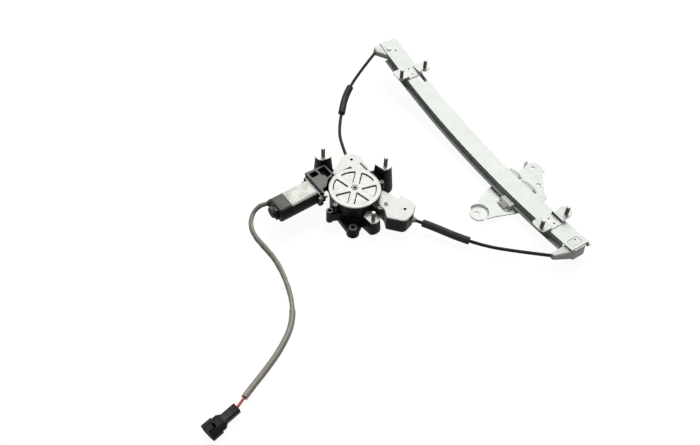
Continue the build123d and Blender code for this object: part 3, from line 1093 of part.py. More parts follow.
upper_end, lower_end = outlets()
parts = {
    "guide_rail": guide_rail(),
    "upper_cable_guide": upper_cable_guide(),
    "lower_cable_guide": lower_cable_guide(),
    "upper_guide_rivet": upper_guide_rivet(),
    "rail_cable": rail_cable(),
    "upper_stud_bracket": stud_bracket(UPPER_BRACKET_ARC, UPPER_WING, UPPER_STUD_STEP),
    "lower_stud_bracket": stud_bracket(LOWER_BRACKET_ARC, LOWER_WING, LOWER_STUD_STEP),
    "bracket_rivets": bracket_rivets(),
    "rail_studs": rail_studs(),
    "carrier_plate": carrier_plate(),
    **{name: slider(*values) for name, values in SLIDERS.items()},
    "slider_rivets": slider_rivets(),
    "cable_holder": cable_holder(),
    "cable_nipples": cable_nipples(),
    "mounting_base": mounting_base(),
    "drum_cover": drum_cover(),
    "cover_rivet": cover_rivet(),
    "inner_cables": inner_cables(),
    "upper_ferrule": ferrule(upper_end),
    "lower_ferrule": ferrule(lower_end),
    "stud_flanges": stud_flanges(),
    "motor_studs": motor_studs(),
    "drum_shaft": drum_shaft(),
    "retaining_ring": retaining_ring(),
    "cable_drum": cable_drum(),
    "drum_cable": drum_cable(),
    "worm_wheel": worm_wheel(),
    "gear_housing": gear_housing(),
    "gear_cover": gear_cover(),
    "cover_screws": cover_screws(),
    "motor_can": motor_can(),
    "can_screws": can_screws(),
    "motor_end_cap": motor_end_cap(),
    "shaft_bearings": shaft_bearings(),
    "thrust_pad": thrust_pad(),
    "can_magnets": can_magnets(),
    "brushes": brushes(),
    "lead_bracket": lead_bracket(),
    "cord_grommet": cord_grommet(),
    "armature_shaft": armature_shaft(),
    "armature_core": armature_core(),
    "armature_windings": armature_windings(),
    "commutator": commutator(),
    "connector_housing": connector_housing(),
    "connector_insert": connector_insert(),
    "connector_seal": connector_seal(),
    "connector_terminals": connector_terminals(),
    **lead_pieces(),
    **conduit_pieces(),
}

os.makedirs("parts", exist_ok=True)
for name, part in parts.items():
    export_step(part, f"parts/{name}.step")
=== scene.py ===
import json
import math

import bmesh
import bpy
import numpy as np
from mathutils import Matrix, Vector


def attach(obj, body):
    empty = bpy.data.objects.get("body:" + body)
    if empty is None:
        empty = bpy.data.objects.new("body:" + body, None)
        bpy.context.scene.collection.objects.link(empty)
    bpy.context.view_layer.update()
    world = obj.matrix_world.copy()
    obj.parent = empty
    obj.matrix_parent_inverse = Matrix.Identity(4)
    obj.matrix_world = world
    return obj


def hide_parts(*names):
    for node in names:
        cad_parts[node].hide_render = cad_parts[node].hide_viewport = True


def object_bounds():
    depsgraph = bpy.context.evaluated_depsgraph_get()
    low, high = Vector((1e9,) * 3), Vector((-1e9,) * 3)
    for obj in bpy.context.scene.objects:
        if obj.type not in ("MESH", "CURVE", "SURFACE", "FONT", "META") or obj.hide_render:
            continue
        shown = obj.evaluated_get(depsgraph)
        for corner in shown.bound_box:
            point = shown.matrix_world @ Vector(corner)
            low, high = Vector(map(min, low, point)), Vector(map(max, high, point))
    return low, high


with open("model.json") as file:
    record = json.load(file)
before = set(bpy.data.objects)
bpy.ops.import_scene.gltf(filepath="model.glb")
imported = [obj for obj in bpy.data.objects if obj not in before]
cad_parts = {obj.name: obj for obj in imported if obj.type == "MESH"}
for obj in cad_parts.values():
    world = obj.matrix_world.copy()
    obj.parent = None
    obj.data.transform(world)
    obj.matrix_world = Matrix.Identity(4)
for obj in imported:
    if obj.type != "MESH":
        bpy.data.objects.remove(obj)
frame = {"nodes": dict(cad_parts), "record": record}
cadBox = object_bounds()
print("stage: frame loaded")


def linear(hexColour):
    # sRGB hex code to linear RGBA
    channels = [int(hexColour[i : i + 2], 16) / 255 for i in (1, 3, 5)]
    return [c / 12.92 if c <= 0.04045 else ((c + 0.055) / 1.055) ** 2.4 for c in channels] + [1.0]


def addNode(tree, kind, output, inputs, **settings):
    # one node with its settings; each input takes a value or a link from a socket
    made = tree.nodes.new(kind)
    for key, value in settings.items():
        setattr(made, key, value)
    for key, value in inputs.items():
        if isinstance(value, bpy.types.NodeSocket):
            tree.links.new(value, made.inputs[key])
        else:
            made.inputs[key].default_value = value
    return made.outputs[output]


# Camera, looking down on the drum side: place and clip end in metres, focal length in pixels of the frame.
camera = {
    "place": Vector((-0.4015, -0.5866, 0.8501)),
    "look": Vector((0.34882, 0.51745, -0.78139)),
    "roll": math.radians(2.282),
    "focalPixels": 734.4,
    "frameWide": 700,
    "sensor": 36.0,
    "clipEnd": 20.0,
}


def addCamera():
    look = camera["look"].normalized()
    level = look.cross(Vector((0, 0, 1))).normalized()
    upright = level.cross(look)
    right = math.cos(camera["roll"]) * level + math.sin(camera["roll"]) * upright
    up = right.cross(look)
    data = bpy.data.cameras.new("camera")
    data.sensor_width = camera["sensor"]
    data.lens = camera["focalPixels"] / camera["frameWide"] * camera["sensor"]
    data.clip_end = camera["clipEnd"]
    eye = bpy.data.objects.new("camera", data)
    turn = Matrix((right, up, -look)).transposed().to_4x4()
    eye.matrix_world = Matrix.Translation(camera["place"]) @ turn
    bpy.context.scene.collection.objects.link(eye)
    bpy.context.scene.camera = eye


# Studio: two soft lamps and a faint white world, in metres and watts.
studio = {
    "lamps": {
        "overhead": {"place": (1.5, 2.0, 3.6), "aim": (0.0, 0.0, 0.0), "size": 3.0, "watts": 180.0},
        "front": {"place": (-0.4, -1.6, 1.2), "aim": (0.05, 0.0, 0.0), "size": 0.8, "watts": 2.6},
    },
    "white": "#ffffff",
    "fill": 0.1,
    "backdrop": 1.0,
}


def whiteToViewers(tree, lit, white, output):
    # the white shader for camera, glossy and transmission rays, and the lit one for all others
    path = tree.nodes.new("ShaderNodeLightPath").outputs
    seen = path["Is Camera Ray"]
    for ray in ("Is Glossy Ray", "Is Transmission Ray"):
        seen = addNode(tree, "ShaderNodeMath", "Value", {0: seen, 1: path[ray]}, operation="MAXIMUM")
    both = addNode(tree, "ShaderNodeMixShader", "Shader", {"Fac": seen, 1: lit, 2: white})
    tree.links.new(both, tree.nodes[output].inputs["Surface"])


def addLights():
    for name, lamp in studio["lamps"].items():
        data = bpy.data.lights.new(name, "AREA")
        data.energy = lamp["watts"]
        data.size = lamp["size"]
        light = bpy.data.objects.new(name, data)
        light.location = lamp["place"]
        away = Vector(lamp["aim"]) - light.location
        light.rotation_euler = away.to_track_quat("-Z", "Y").to_euler()
        bpy.context.scene.collection.objects.link(light)


def addWorld():
    world = bpy.data.worlds.new("studio")
    world.use_nodes = True
    tree, colour = world.node_tree, linear(studio["white"])
    fill = tree.nodes["Background"]
    fill.inputs["Color"].default_value = colour
    fill.inputs["Strength"].default_value = studio["fill"]
    inputs = {"Color": colour, "Strength": studio["backdrop"]}
    backdrop = addNode(tree, "ShaderNodeBackground", "Background", inputs)
    whiteToViewers(tree, fill.outputs["Background"], backdrop, "World Output")
    bpy.context.scene.world = world
    bpy.context.scene.view_settings.view_transform = "Standard"


# Floor: half its side and its drop under the object in metres, then how it shades, glows and bounces light.
floor = {"half": 6.0, "drop": 0.0002, "shade": 0.12, "glow": 0.94, "bounce": "#2a2a2a"}


def whiteFloor():
    # painted floor, lit to plain white with the object's faint shadow; dim as bounced light
    material = bpy.data.materials.new("white studio floor")
    material.use_nodes = True
    tree = material.node_tree
    shadow = addNode(tree, "ShaderNodeBsdfDiffuse", "BSDF", {"Color": (*[floor["shade"]] * 3, 1.0)})
    glow = addNode(tree, "ShaderNodeEmission", "Emission", {"Strength": floor["glow"]})
    white = addNode(tree, "ShaderNodeAddShader", "Shader", {0: shadow, 1: glow})
    dim = addNode(tree, "ShaderNodeBsdfDiffuse", "BSDF", {"Color": linear(floor["bounce"])})
    whiteToViewers(tree, dim, white, "Material Output")
    return material


def addFloor():
    half, low = floor["half"], min(cadBox[0][2], 0) - floor["drop"]
    corners = [(-half, -half, low), (half, -half, low), (half, half, low), (-half, half, low)]
    data = bpy.data.meshes.new("studioFloor")
    data.from_pydata(corners, [], [(0, 1, 2, 3)])
    data.materials.append(whiteFloor())
    ground = bpy.data.objects.new("studioFloor", data)
    bpy.context.scene.collection.objects.link(ground)


def newMaterial(name, colour, roughness, metallic=0.0, specular=0.5):
    # a Principled surface with nothing on it yet
    material = bpy.data.materials.new(name)
    material.use_nodes = True
    sockets = material.node_tree.nodes["Principled BSDF"].inputs
    sockets["Base Color"].default_value = linear(colour)
    sockets["Roughness"].default_value = roughness
    sockets["Metallic"].default_value = metallic
    sockets["Specular IOR Level"].default_value = specular
    return material


# Clouds: how fast their detail fades, and the span that most of their values lie in.
clouds = {"fade": 0.55, "span": (0.3, 0.7)}


def cloudsOf(material, patch, detail, fade=clouds["fade"]):
    # soft clouds on the object, with patches of that many millimetres
    tree = material.node_tree
    place = addNode(tree, "ShaderNodeTexCoord", "Object", {})
    inputs = {"Vector": place, "Scale": 1000 / patch, "Detail": detail, "Roughness": fade}
    return addNode(tree, "ShaderNodeTexNoise", "Fac", inputs)


def spread(material, value, span, low, high):
    # low + (value - start of span) / length of span * (high - low)
    ends = {"Value": value, "From Min": span[0], "From Max": span[1], "To Min": low, "To Max": high}
    return addNode(material.node_tree, "ShaderNodeMapRange", "Result", ends)


def feed(material, socket, source):
    # a link into the material's surface
    surface = material.node_tree.nodes["Principled BSDF"]
    material.node_tree.links.new(source, surface.inputs[socket])


def mottle(material, pattern, low, high):
    # the colour wanders between two, with a pattern
    ends = {"Factor": pattern, "A": linear(low), "B": linear(high)}
    colour = addNode(material.node_tree, "ShaderNodeMix", "Result", ends, data_type="RGBA")
    feed(material, "Base Color", colour)


def wear(material, patch, detail, low, high):
    # the roughness wanders between two, in patches
    pattern = cloudsOf(material, patch, detail)
    feed(material, "Roughness", spread(material, pattern, clouds["span"], low, high))


def ripple(material, patch, detail, height):
    # a faint waviness of that many millimetres, coarser than the real grain so that it shows
    inputs = {"Height": cloudsOf(material, patch, detail), "Distance": height / 1000, "Strength": 1.0}
    feed(material, "Normal", addNode(material.node_tree, "ShaderNodeBump", "Normal", inputs))


def galvanisedSteel():
    # hot-dipped sheet: nearly white and satin, with faint cloudy spangle
    steel = newMaterial("galvanised steel", "#d3d8d1", 0.45, 0.1, 0.3)
    mottle(steel, cloudsOf(steel, 33.3, 2), "#ced4cd", "#e2e7e0")
    wear(steel, 16.7, 2, 0.42, 0.5)
    ripple(steel, 8.33, 2, 0.01)
    return steel


def pressedZinc():
    # the gearbox lid and the brackets: brighter plate, burnished by the press
    steel = newMaterial("pressed bright plate", "#e8ebe5", 0.45, 0.1, 0.3)
    mottle(steel, cloudsOf(steel, 16.7, 2), "#d0d4cd", "#e1e4dd")
    wear(steel, 11.1, 2, 0.4, 0.52)
    ripple(steel, 6.67, 2, 0.01)
    return steel


def paintedRailWallShade():
    # the rail's walls and lips: galvanised zinc painted darker as shade
    steel = newMaterial("greased galvanised steel", "#939a93", 0.42, 0.05, 0.3)
    mottle(steel, cloudsOf(steel, 14.3, 6), "#757c75", "#a1a8a0")
    wear(steel, 11.1, 3, 0.34, 0.5)
    return steel


def brightZinc():
    # blue-bright zinc plating on turned and pressed pieces
    zinc = newMaterial("bright zinc plating", "#cfd0c8", 0.4, 0.15)
    mottle(zinc, cloudsOf(zinc, 11.1, 2), "#bcbdb4", "#dfe0d8")
    wear(zinc, 8.33, 2, 0.3, 0.44)
    ripple(zinc, 5.0, 2, 0.006)
    return zinc


def drawnCan():
    # deep-drawn can: bright top, rubbed and finger-marked, so its clouds are stretched to full contrast
    can = newMaterial("drawn zinc can", "#dcdcd2", 0.38, 0.15)
    smudges = spread(can, cloudsOf(can, 20.83, 8, fade=0.66), (0.32, 0.6), 0.0, 1.0)
    mottle(can, smudges, "#a9a99d", "#eeeee6")
    wear(can, 14.3, 3, 0.32, 0.5)
    ripple(can, 5.0, 2, 0.01)
    return can


def paintedSideShade():
    # upright sides, painted near black as shade
    can = newMaterial("oil-darkened can side", "#20211e", 0.5, 0.05, 0.1)
    mottle(can, cloudsOf(can, 16.7, 3), "#11120f", "#2e2f2a")
    wear(can, 11.1, 3, 0.42, 0.6)
    return can


def paintedFlankShade():
    # the drawn walls of pockets, slots and risers, painted dark as shade
    flank = newMaterial("scuffed pressing flank", "#3a3e39", 0.5, 0.05)
    mottle(flank, cloudsOf(flank, 11.1, 5), "#262926", "#50544e")
    return flank


def phosphatedSteel():
    # thread-forming screws: dark phosphate with worn edges
    screw = newMaterial("phosphated screw steel", "#4c4f4b", 0.42, 0.4)
    mottle(screw, cloudsOf(screw, 3.33, 4), "#30322f", "#747871")
    return screw


def threadAndBoreShade():
    # rolled threads, dark; the same steel is painted inside bores and hollow rivets as shade
    thread = newMaterial("oiled rolled thread", "#3a3d3a", 0.38, 0.3)
    mottle(thread, cloudsOf(thread, 2.0, 4), "#262826", "#565a55")
    return thread


def blackPlastic():
    # glass-filled nylon, moulded black, a little grey where rubbed
    plastic = newMaterial("black glass-filled nylon", "#0f120f", 0.42, specular=0.09)
    mottle(plastic, cloudsOf(plastic, 12.5, 5), "#070907", "#171b17")
    wear(plastic, 3.85, 4, 0.34, 0.56)
    ripple(plastic, 1.25, 2, 0.01)
    return plastic


def creamPlastic():
    # acetal lid, near white with a green cast
    plastic = newMaterial("cream moulded acetal", "#f4f7f0", 0.42, specular=0.35)
    mottle(plastic, cloudsOf(plastic, 33.3, 2), "#ebefe6", "#fbfdf7")
    wear(plastic, 11.1, 2, 0.38, 0.5)
    ripple(plastic, 5.0, 2, 0.01)
    return plastic


def greyPlastic():
    # moulded nylon, mid grey and unevenly flowed
    plastic = newMaterial("grey moulded nylon", "#5d615c", 0.45, specular=0.3)
    mottle(plastic, cloudsOf(plastic, 16.7, 5), "#4a4e49", "#70756f")
    ripple(plastic, 5.0, 2, 0.01)
    return plastic


def capPlastic():
    # moulded polyester, warm dark grey, dusty in patches
    plastic = newMaterial("motor end cap plastic", "#454540", 0.45, specular=0.25)
    mottle(plastic, cloudsOf(plastic, 16.7, 5), "#393935", "#62625b")
    ripple(plastic, 5.0, 2, 0.01)
    return plastic


def naturalAcetal(name="natural acetal", low="#b9bcb4", high="#d4d7cf"):
    # unfilled acetal, pale grey-white
    plastic = newMaterial(name, high, 0.4, specular=0.35)
    mottle(plastic, cloudsOf(plastic, 20.0, 2), low, high)
    wear(plastic, 11.1, 2, 0.36, 0.48)
    ripple(plastic, 6.67, 2, 0.01)
    return plastic


def blackRubber():
    # moulded rubber, dull black with a fine grain
    rubber = newMaterial("black rubber", "#0b0b0b", 0.6, specular=0.3)
    mottle(rubber, cloudsOf(rubber, 8.33, 5), "#060606", "#161616")
    wear(rubber, 2.5, 4, 0.45, 0.7)
    ripple(rubber, 1.67, 3, 0.02)
    return rubber


def blackSheath():
    # extruded conduit sheath, black with a low sheen
    sheath = newMaterial("black conduit sheath", "#131512", 0.42, specular=0.15)
    mottle(sheath, cloudsOf(sheath, 8.33, 5), "#0a0b0a", "#1d201d")
    wear(sheath, 3.33, 4, 0.36, 0.5)
    return sheath


def strandedWire():
    # laid steel strands, bright on the crowns and dark between; its grain is drawn coarser than a strand
    wire = newMaterial("stranded steel wire", "#6d6f70", 0.35, 0.9)
    mottle(wire, cloudsOf(wire, 1.43, 4), "#4a4c4d", "#8b8d8e")
    return wire


def groundSteel():
    # ground shafts, bright, with a faint change of gloss
    steel = newMaterial("ground steel", "#9a9b9c", 0.25, 1.0)
    wear(steel, 1.25, 3, 0.18, 0.34)
    return steel


def copperWire():
    # enamelled windings, warm and glossy
    copper = newMaterial("copper", "#b4683c", 0.35, 0.9)
    mottle(copper, cloudsOf(copper, 1.67, 4), "#8d4d2a", "#c97e4e")
    return copper


def sinteredBronze():
    # oil-filled bearings, dull gold and grainy
    bronze = newMaterial("sintered bronze", "#9a7a4c", 0.5, 0.8)
    mottle(bronze, cloudsOf(bronze, 1.11, 4), "#7d6139", "#b0905f")
    return bronze


def darkFerrite():
    # pressed magnets, dark grey like slate
    ferrite = newMaterial("dark ferrite", "#2e2e30", 0.6)
    mottle(ferrite, cloudsOf(ferrite, 3.33, 5), "#242426", "#3a3a3c")
    return ferrite


def tinnedBrass():
    # stamped contacts, pale gold and shiny
    brass = newMaterial("tinned brass", "#cfc49c", 0.28, 0.95)
    mottle(brass, cloudsOf(brass, 1.43, 3), "#b9ac82", "#e6dcb8")
    return brass


def woundSleeve():
    # cloth tape wound over the wires: matt grey-brown with a nap
    sleeve = newMaterial("grey lead sleeve", "#979187", 0.6)
    mottle(sleeve, cloudsOf(sleeve, 6.25, 6), "#7d776d", "#b1aca1")
    wear(sleeve, 2.0, 4, 0.5, 0.75)
    ripple(sleeve, 2.0, 3, 0.06)
    return sleeve


def smoothTube():
    # the stretch to the plug: plain grey vinyl tube
    tube = newMaterial("grey vinyl tube", "#8c867d", 0.36)
    mottle(tube, cloudsOf(tube, 16.7, 4), "#807a71", "#989288")
    wear(tube, 5.0, 3, 0.3, 0.42)
    return tube


def glossyBlack():
    # the plug: unfilled black nylon, smoother than the castings
    plastic = newMaterial("black plug nylon", "#060706", 0.34, specular=0.12)
    mottle(plastic, cloudsOf(plastic, 16.7, 4), "#040504", "#0d0f0d")
    wear(plastic, 6.25, 3, 0.28, 0.42)
    return plastic


def redInsulation():
    # extruded vinyl, signal red
    wire = newMaterial("red wire insulation", "#c01818", 0.35)
    mottle(wire, cloudsOf(wire, 12.5, 3), "#b01414", "#cc2020")
    return wire


def crimsonSeal():
    # moulded silicone, deep red and slightly translucent
    seal = newMaterial("crimson silicone seal", "#a4121c", 0.4)
    mottle(seal, cloudsOf(seal, 2.5, 4), "#860c16", "#bb1c28")
    sockets = seal.node_tree.nodes["Principled BSDF"].inputs
    sockets["Subsurface Weight"].default_value = 0.2
    sockets["Subsurface Radius"].default_value = (0.002, 0.0005, 0.0005)
    return seal


# Finishes by the frame's material slots, then those that only some pieces or faces have.
finishes = {
    "zinc_steel": galvanisedSteel(),
    "bright_steel": brightZinc(),
    "spring_steel": strandedWire(),
    "shaft_steel": groundSteel(),
    "copper": copperWire(),
    "bronze": sinteredBronze(),
    "tin_brass": tinnedBrass(),
    "ferrite": darkFerrite(),
    "black_plastic": blackPlastic(),
    "cream_plastic": creamPlastic(),
    "grey_plastic": greyPlastic(),
    "natural_plastic": naturalAcetal(),
    "dark_grey_plastic": capPlastic(),
    "black_rubber": blackRubber(),
    "grey_sleeve": woundSleeve(),
    "black_sheath": blackSheath(),
    "red_wire": redInsulation(),
    "red_seal": crimsonSeal(),
}
finishes["carbon"] = finishes["black_rubber"]  # the brushes are as black and as dull
bright = pressedZinc()
# dark steel for threads, also painted inside bores as shade
thread = threadAndBoreShade()
# painted shade for pocket walls, the lobe's slot, bracket risers and the clip's sides
flank = paintedFlankShade()
sideShade = paintedSideShade()
railWallShade = paintedRailWallShade()
screw = phosphatedSteel()
cleanAcetal = naturalAcetal("clean acetal", "#e4e7df", "#f6f8f2")
plugNylon = glossyBlack()
special = {
    "motor_can": drawnCan(),
    "cover_screws": screw,
    "can_screws": screw,
    "cover_rivet": screw,
    "gear_cover": bright,
    "upper_stud_bracket": bright,
    "lower_stud_bracket": bright,
    "upper_cable_guide": cleanAcetal,
    "lower_cable_guide": cleanAcetal,
    "connector_housing": plugNylon,
    "connector_insert": plugNylon,
    "lower_lead_sleeve": smoothTube(),
}
slots = {part["node"]: part["material_slot"] for part in frame["record"]["subparts"]}
homes = {node: body for body, nodes in frame["record"]["behaviour"]["bodies"].items() for node in nodes}


def finishOf(node):
    # a node's own finish, or else its slot's
    return special.get(node, finishes[slots[node]])


def finishNode(node):
    # a CAD node keeps its mesh and gets its finish
    data = frame["nodes"][node].data
    data.materials.clear()
    data.materials.append(finishOf(node))
    data.polygons.foreach_set("material_index", [0] * len(data.polygons))


def finishFaces(piece, material, chosen):
    # one more finish, on the faces that a rule picks by their normals and centres (x, y, z rows, millimetres)
    data = piece.data
    normals, centres = np.zeros(len(data.polygons) * 3), np.zeros(len(data.polygons) * 3)
    data.polygons.foreach_get("normal", normals)
    data.polygons.foreach_get("center", centres)
    data.materials.append(material)
    index = np.zeros(len(data.polygons), dtype=int)
    data.polygons.foreach_get("material_index", index)
    index[chosen(normals.reshape(-1, 3).T, centres.reshape(-1, 3).T * 1000)] = len(data.materials) - 1
    data.polygons.foreach_set("material_index", index)


def pieceName(node):
    # lead_wires becomes leadWires
    first, *rest = node.split("_")
    return first + "".join(word.capitalize() for word in rest)


def collect(data, node):
    # a new piece in place of a CAD node, riding on that node's body
    piece = bpy.data.objects.new(pieceName(node), data)
    bpy.context.scene.collection.objects.link(piece)
    data.materials.clear()
    data.materials.append(finishOf(node))
    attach(piece, homes[node])
    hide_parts(node)
    return piece


# New meshes: edges sharper than this stay sharp; steps of a curve between its points and round its side.
making = {"sharpest": math.radians(40), "curveSteps": 24, "sideSteps": 6}


def gridMesh(node, rings, capped=True):
    # rings x points x 3; quads join each ring to the next, and the last to the first where there are no caps
    count, around = rings.shape[:2]
    index = np.arange(count * around).reshape(count, around)
    index = np.concatenate([index, index[:, :1]], axis=1)
    if not capped:
        index = np.concatenate([index, index[:1]])
    corners = (index[:-1, :-1], index[:-1, 1:], index[1:, 1:], index[1:, :-1])
    faces = np.stack(corners, axis=-1).reshape(-1, 4).tolist()
    if capped:
        faces += [index[0, :around][::-1].tolist(), index[-1, :around].tolist()]
    data = bpy.data.meshes.new(pieceName(node))
    data.from_pydata(rings.reshape(-1, 3).tolist(), [], faces)
    data.shade_smooth()
    data.set_sharp_from_angle(angle=making["sharpest"])
    return data


def nurbs(name, points, radius=0.0):
    # a smooth curve by points in millimetres, round if a radius in metres is given
    data = bpy.data.curves.new(name, "CURVE")
    data.dimensions = "3D"
    line = data.splines.new("NURBS")
    line.points.add(len(points) - 1)
    for place, point in zip(line.points, points):
        place.co = (*[v / 1000 for v in point], 1.0)
    line.order_u = 3
    line.use_endpoint_u = True
    line.resolution_u = making["curveSteps"]
    data.bevel_depth = radius
    data.bevel_resolution = making["sideSteps"]
    data.use_fill_caps = radius > 0
    return data


def centreline(points):
    # the points of the smooth curve, read back from a line with no thickness
    bare = bpy.data.objects.new("bareLine", nurbs("bareLine", points))
    mesh = bpy.data.meshes.new_from_object(bare)
    line = np.zeros(len(mesh.vertices) * 3)
    mesh.vertices.foreach_get("co", line)
    bpy.data.meshes.remove(mesh)
    bpy.data.objects.remove(bare)
    return line.reshape(-1, 3)


def resample(line, start, end, steps):
    # evenly spaced points between two shares of the line's length
    along = np.concatenate([[0], np.cumsum(np.linalg.norm(np.diff(line, axis=0), axis=1))])
    wanted = np.linspace(start, end, steps) * along[-1]
    return np.stack([np.interp(wanted, along, line[:, k]) for k in range(3)], axis=1)


def ringsOn(line, across, upward):
    # point = line + across * side + upward * over; side and over turn as little as possible along the line
    run = np.gradient(line, axis=0)
    run /= np.linalg.norm(run, axis=1)[:, None]
    side = np.zeros_like(run)
    first = np.cross(run[0], (0, 0, 1))
    side[0] = first / np.linalg.norm(first)
    for i in range(1, len(run)):  # each point of the line carries the last one's side on
        carried = side[i - 1] - run[i] * np.dot(side[i - 1], run[i])
        side[i] = carried / np.linalg.norm(carried)
    over = np.cross(run, side)
    return line[:, None] + across[..., None] * side[:, None] + upward[..., None] * over[:, None]


def fullTurn(steps):
    # angles at that many even steps round, as one row
    return np.linspace(0, 2 * math.pi, steps, endpoint=False)[None, :]


# Pressed, moulded and machined pieces: how a CAD node's copy is merged (metres) and its edges are rounded.
rounding = {
    "merge": 1e-6,
    "flat": math.radians(0.5),
    "sharpest": math.radians(35),
    "steps": 2,
    "clamped": (
        "motor_end_cap",
        "lower_cable_guide",
        "carrier_plate",
        "left_slider",
        "upper_right_slider",
        "lower_right_slider",
        "upper_stud_bracket",
        "lower_stud_bracket",
    ),
}
# Radius of each piece's rounded edges, in millimetres.
edgeRadii = {
    "upper_stud_bracket": 0.35,
    "lower_stud_bracket": 0.35,
    "carrier_plate": 0.45,
    "left_slider": 0.9,
    "upper_right_slider": 0.9,
    "lower_right_slider": 0.9,
    "cable_holder": 0.6,
    "upper_cable_guide": 0.8,
    "lower_cable_guide": 1.2,
    "mounting_base": 0.5,
    "drum_cover": 0.25,
    "gear_housing": 0.4,
    "stud_flanges": 0.3,
    "motor_can": 0.5,
    "motor_end_cap": 0.5,
    "lead_bracket": 0.45,
    "cord_grommet": 0.4,
    "connector_housing": 0.4,
    "upper_ferrule": 0.4,
    "lower_ferrule": 0.4,
    "upper_conduit_sleeve": 1.3,
    "lower_conduit_sleeve": 1.3,
}


def roundEdges(node):
    # a copy of the node with its triangles joined, its flat faces made whole and its edges bevelled
    shape = bmesh.new()
    shape.from_mesh(frame["nodes"][node].data)
    bmesh.ops.remove_doubles(shape, verts=shape.verts, dist=rounding["merge"])
    bmesh.ops.dissolve_limit(shape, angle_limit=rounding["flat"], verts=shape.verts, edges=shape.edges)
    data = bpy.data.meshes.new(pieceName(node))
    shape.to_mesh(data)
    shape.free()
    piece = collect(data, node)
    bevel = piece.modifiers.new("roundedEdges", "BEVEL")
    bevel.width = edgeRadii[node] / 1000
    bevel.segments = rounding["steps"]
    bevel.limit_method = "ANGLE"
    bevel.angle_limit = rounding["sharpest"]
    bevel.use_clamp_overlap = node in rounding["clamped"]
    data.shade_smooth()
    data.set_sharp_from_angle(angle=rounding["sharpest"])
    return piece


# Rules that pick faces by how far their normals lean: an upright component of 1 is level, 0 is a wall.
leans = {"steep": 0.6, "rim": 0.5, "bore": 0.5, "wall": 0.3}
riserLeans = {"up": 0.85, "left": -0.45}


def steep(normal, centre):
    # walls, slopes and undersides, for painted shade
    return normal[2] < leans["steep"]


def wall(normal, centre):
    # upright sides alone, for painted shade
    return np.abs(normal[2]) < leans["wall"]


def riser(normal, centre):
    # a bracket's slopes and edges that face the drive, painted dark as shade
    return (normal[0] < riserLeans["left"]) & (normal[2] < riserLeans["up"])


def shadedBoreOf(places, radius):
    # walls of the upright bores at some places, painted dark as shade
    def chosen(normal, centre):
        near = [np.hypot(centre[0] - x, centre[1] - y) < radius for x, y in places]
        return np.any(near, axis=0) & (np.abs(normal[2]) < leans["bore"])

    return chosen


def ownAxes(centre, turn, place=(0.0, 0.0)):
    # along = dx cos turn + dy sin turn, across = dy cos turn - dx sin turn
    dx, dy = centre[0] - place[0], centre[1] - place[1]
    return dx * math.cos(turn) + dy * math.sin(turn), dy * math.cos(turn) - dx * math.sin(turn)


# The lead bracket's two empty pockets, painted black inside as shade: left, low, right and high in the
# motor's axes, and a height over them.
pockets = {
    "turn": math.radians(3.3),
    "boxes": ((-43.1, 47.1, -30.7, 56.9), (-28.3, 35.3, -15.1, 57.3)),
    "under": 46.7,
}


def inShadedPockets(normal, centre):
    # the pockets' walls and floors, painted black as shade
    x, y = ownAxes(centre, pockets["turn"])
    boxes = pockets["boxes"]
    held = [(x > left) & (x < right) & (y > low) & (y < high) for left, low, right, high in boxes]
    return np.any(held, axis=0) & (centre[2] < pockets["under"])


# The post's and the ear's moulded rims, painted lighter grey as a highlight: x, y, reach and least height.
highlightRims = ((-49.0, -10.0, 5.4, 30.5), (-29.5, -43.0, 5.0, 14.0))


def onHighlightRims(normal, centre):
    # level faces near the tops of the post and the ear, painted lighter as a highlight
    near = [
        (np.hypot(centre[0] - x, centre[1] - y) < reach) & (centre[2] > height)
        for x, y, reach, height in highlightRims
    ]
    return np.any(near, axis=0) & (normal[2] > leans["rim"])


# The slot pressed in the upper lobe, its walls and floor painted dark as shade: place, turn, half length and
# half width, and the height it is all under.
groove = {"place": (40.5, 38.0), "turn": math.radians(-86.0), "half": (9.3, 1.9), "under": 29.8}


def inGroove(normal, centre):
    # the slot's walls and floor, painted dark as shade
    along, across = ownAxes(centre, groove["turn"], groove["place"])
    inside = (np.abs(along) < groove["half"][0]) & (np.abs(across) < groove["half"][1])
    return inside & (centre[2] < groove["under"])


# The rail's arc: its lowest point on the middle of the web's top, and its radius, in millimetres.
railArc = {"radius": 1302.0, "x": 218.5, "y": -81.2, "z": 22.0}
# How far out of that arc the rail's walls begin, and how far out the clip's sides end.
webLimits = {"walls": 0.7, "clip": 1.2}


def onRail(arc, up=0.0):
    # a point that far along the rail's curve and that far above its web:
    # y = middle + reach * sin(arc / radius), z = middle + radius - reach * cos(arc / radius)
    turn, reach = arc / railArc["radius"], railArc["radius"] - up
    return (
        railArc["x"],
        railArc["y"] + reach * np.sin(turn),
        railArc["z"] + railArc["radius"] - reach * np.cos(turn),
    )


def outOfArc(centre):
    # distance from the arc's centre, less the radius
    reach = np.hypot(centre[1] - railArc["y"], centre[2] - railArc["z"] - railArc["radius"])
    return reach - railArc["radius"]


def offTheWeb(normal, centre):
    # the rail's walls, lips and edges, painted darker as shade
    return outOfArc(centre) > webLimits["walls"]


def aboveTheWeb(normal, centre):
    # the clip's sides, in and over the rail's window, painted dark as shade
    return (outOfArc(centre) < webLimits["clip"]) & (np.abs(normal[2]) < leans["steep"])


# The gearbox lid: one pressed sheet with six sunk pockets between parallel-sided spokes, in millimetres.
lid = {
    "radius": 38.5,
    "seat": 34.0,
    "top": 42.4,
    "bottom": 40.4,
    "sheet": 1.2,
    "edge": 0.9,
    "edgeSteps": 4,
    "hub": 2.6,
    "collar": (3.4, 5.4, 0.9),  # groove round the hub: inner and outer radius, depth
    "collarSlope": 0.5,
    "pockets": 6,
    "turn": math.radians(17.0),
    "far": 32.5,  # radius at which a pocket ends
    "spokeHalf": 3.9,
    "deep": 2.1,
    "flank": 1.9,
    "round": 2.8,
    "around": 432,
    "rings": 92,
}
# Its flanks, painted dark as shade: less level than this, nearer the hub than this and lower than this.
lidFlank = {"lean": 0.93, "within": 33.5, "under": 42.3}


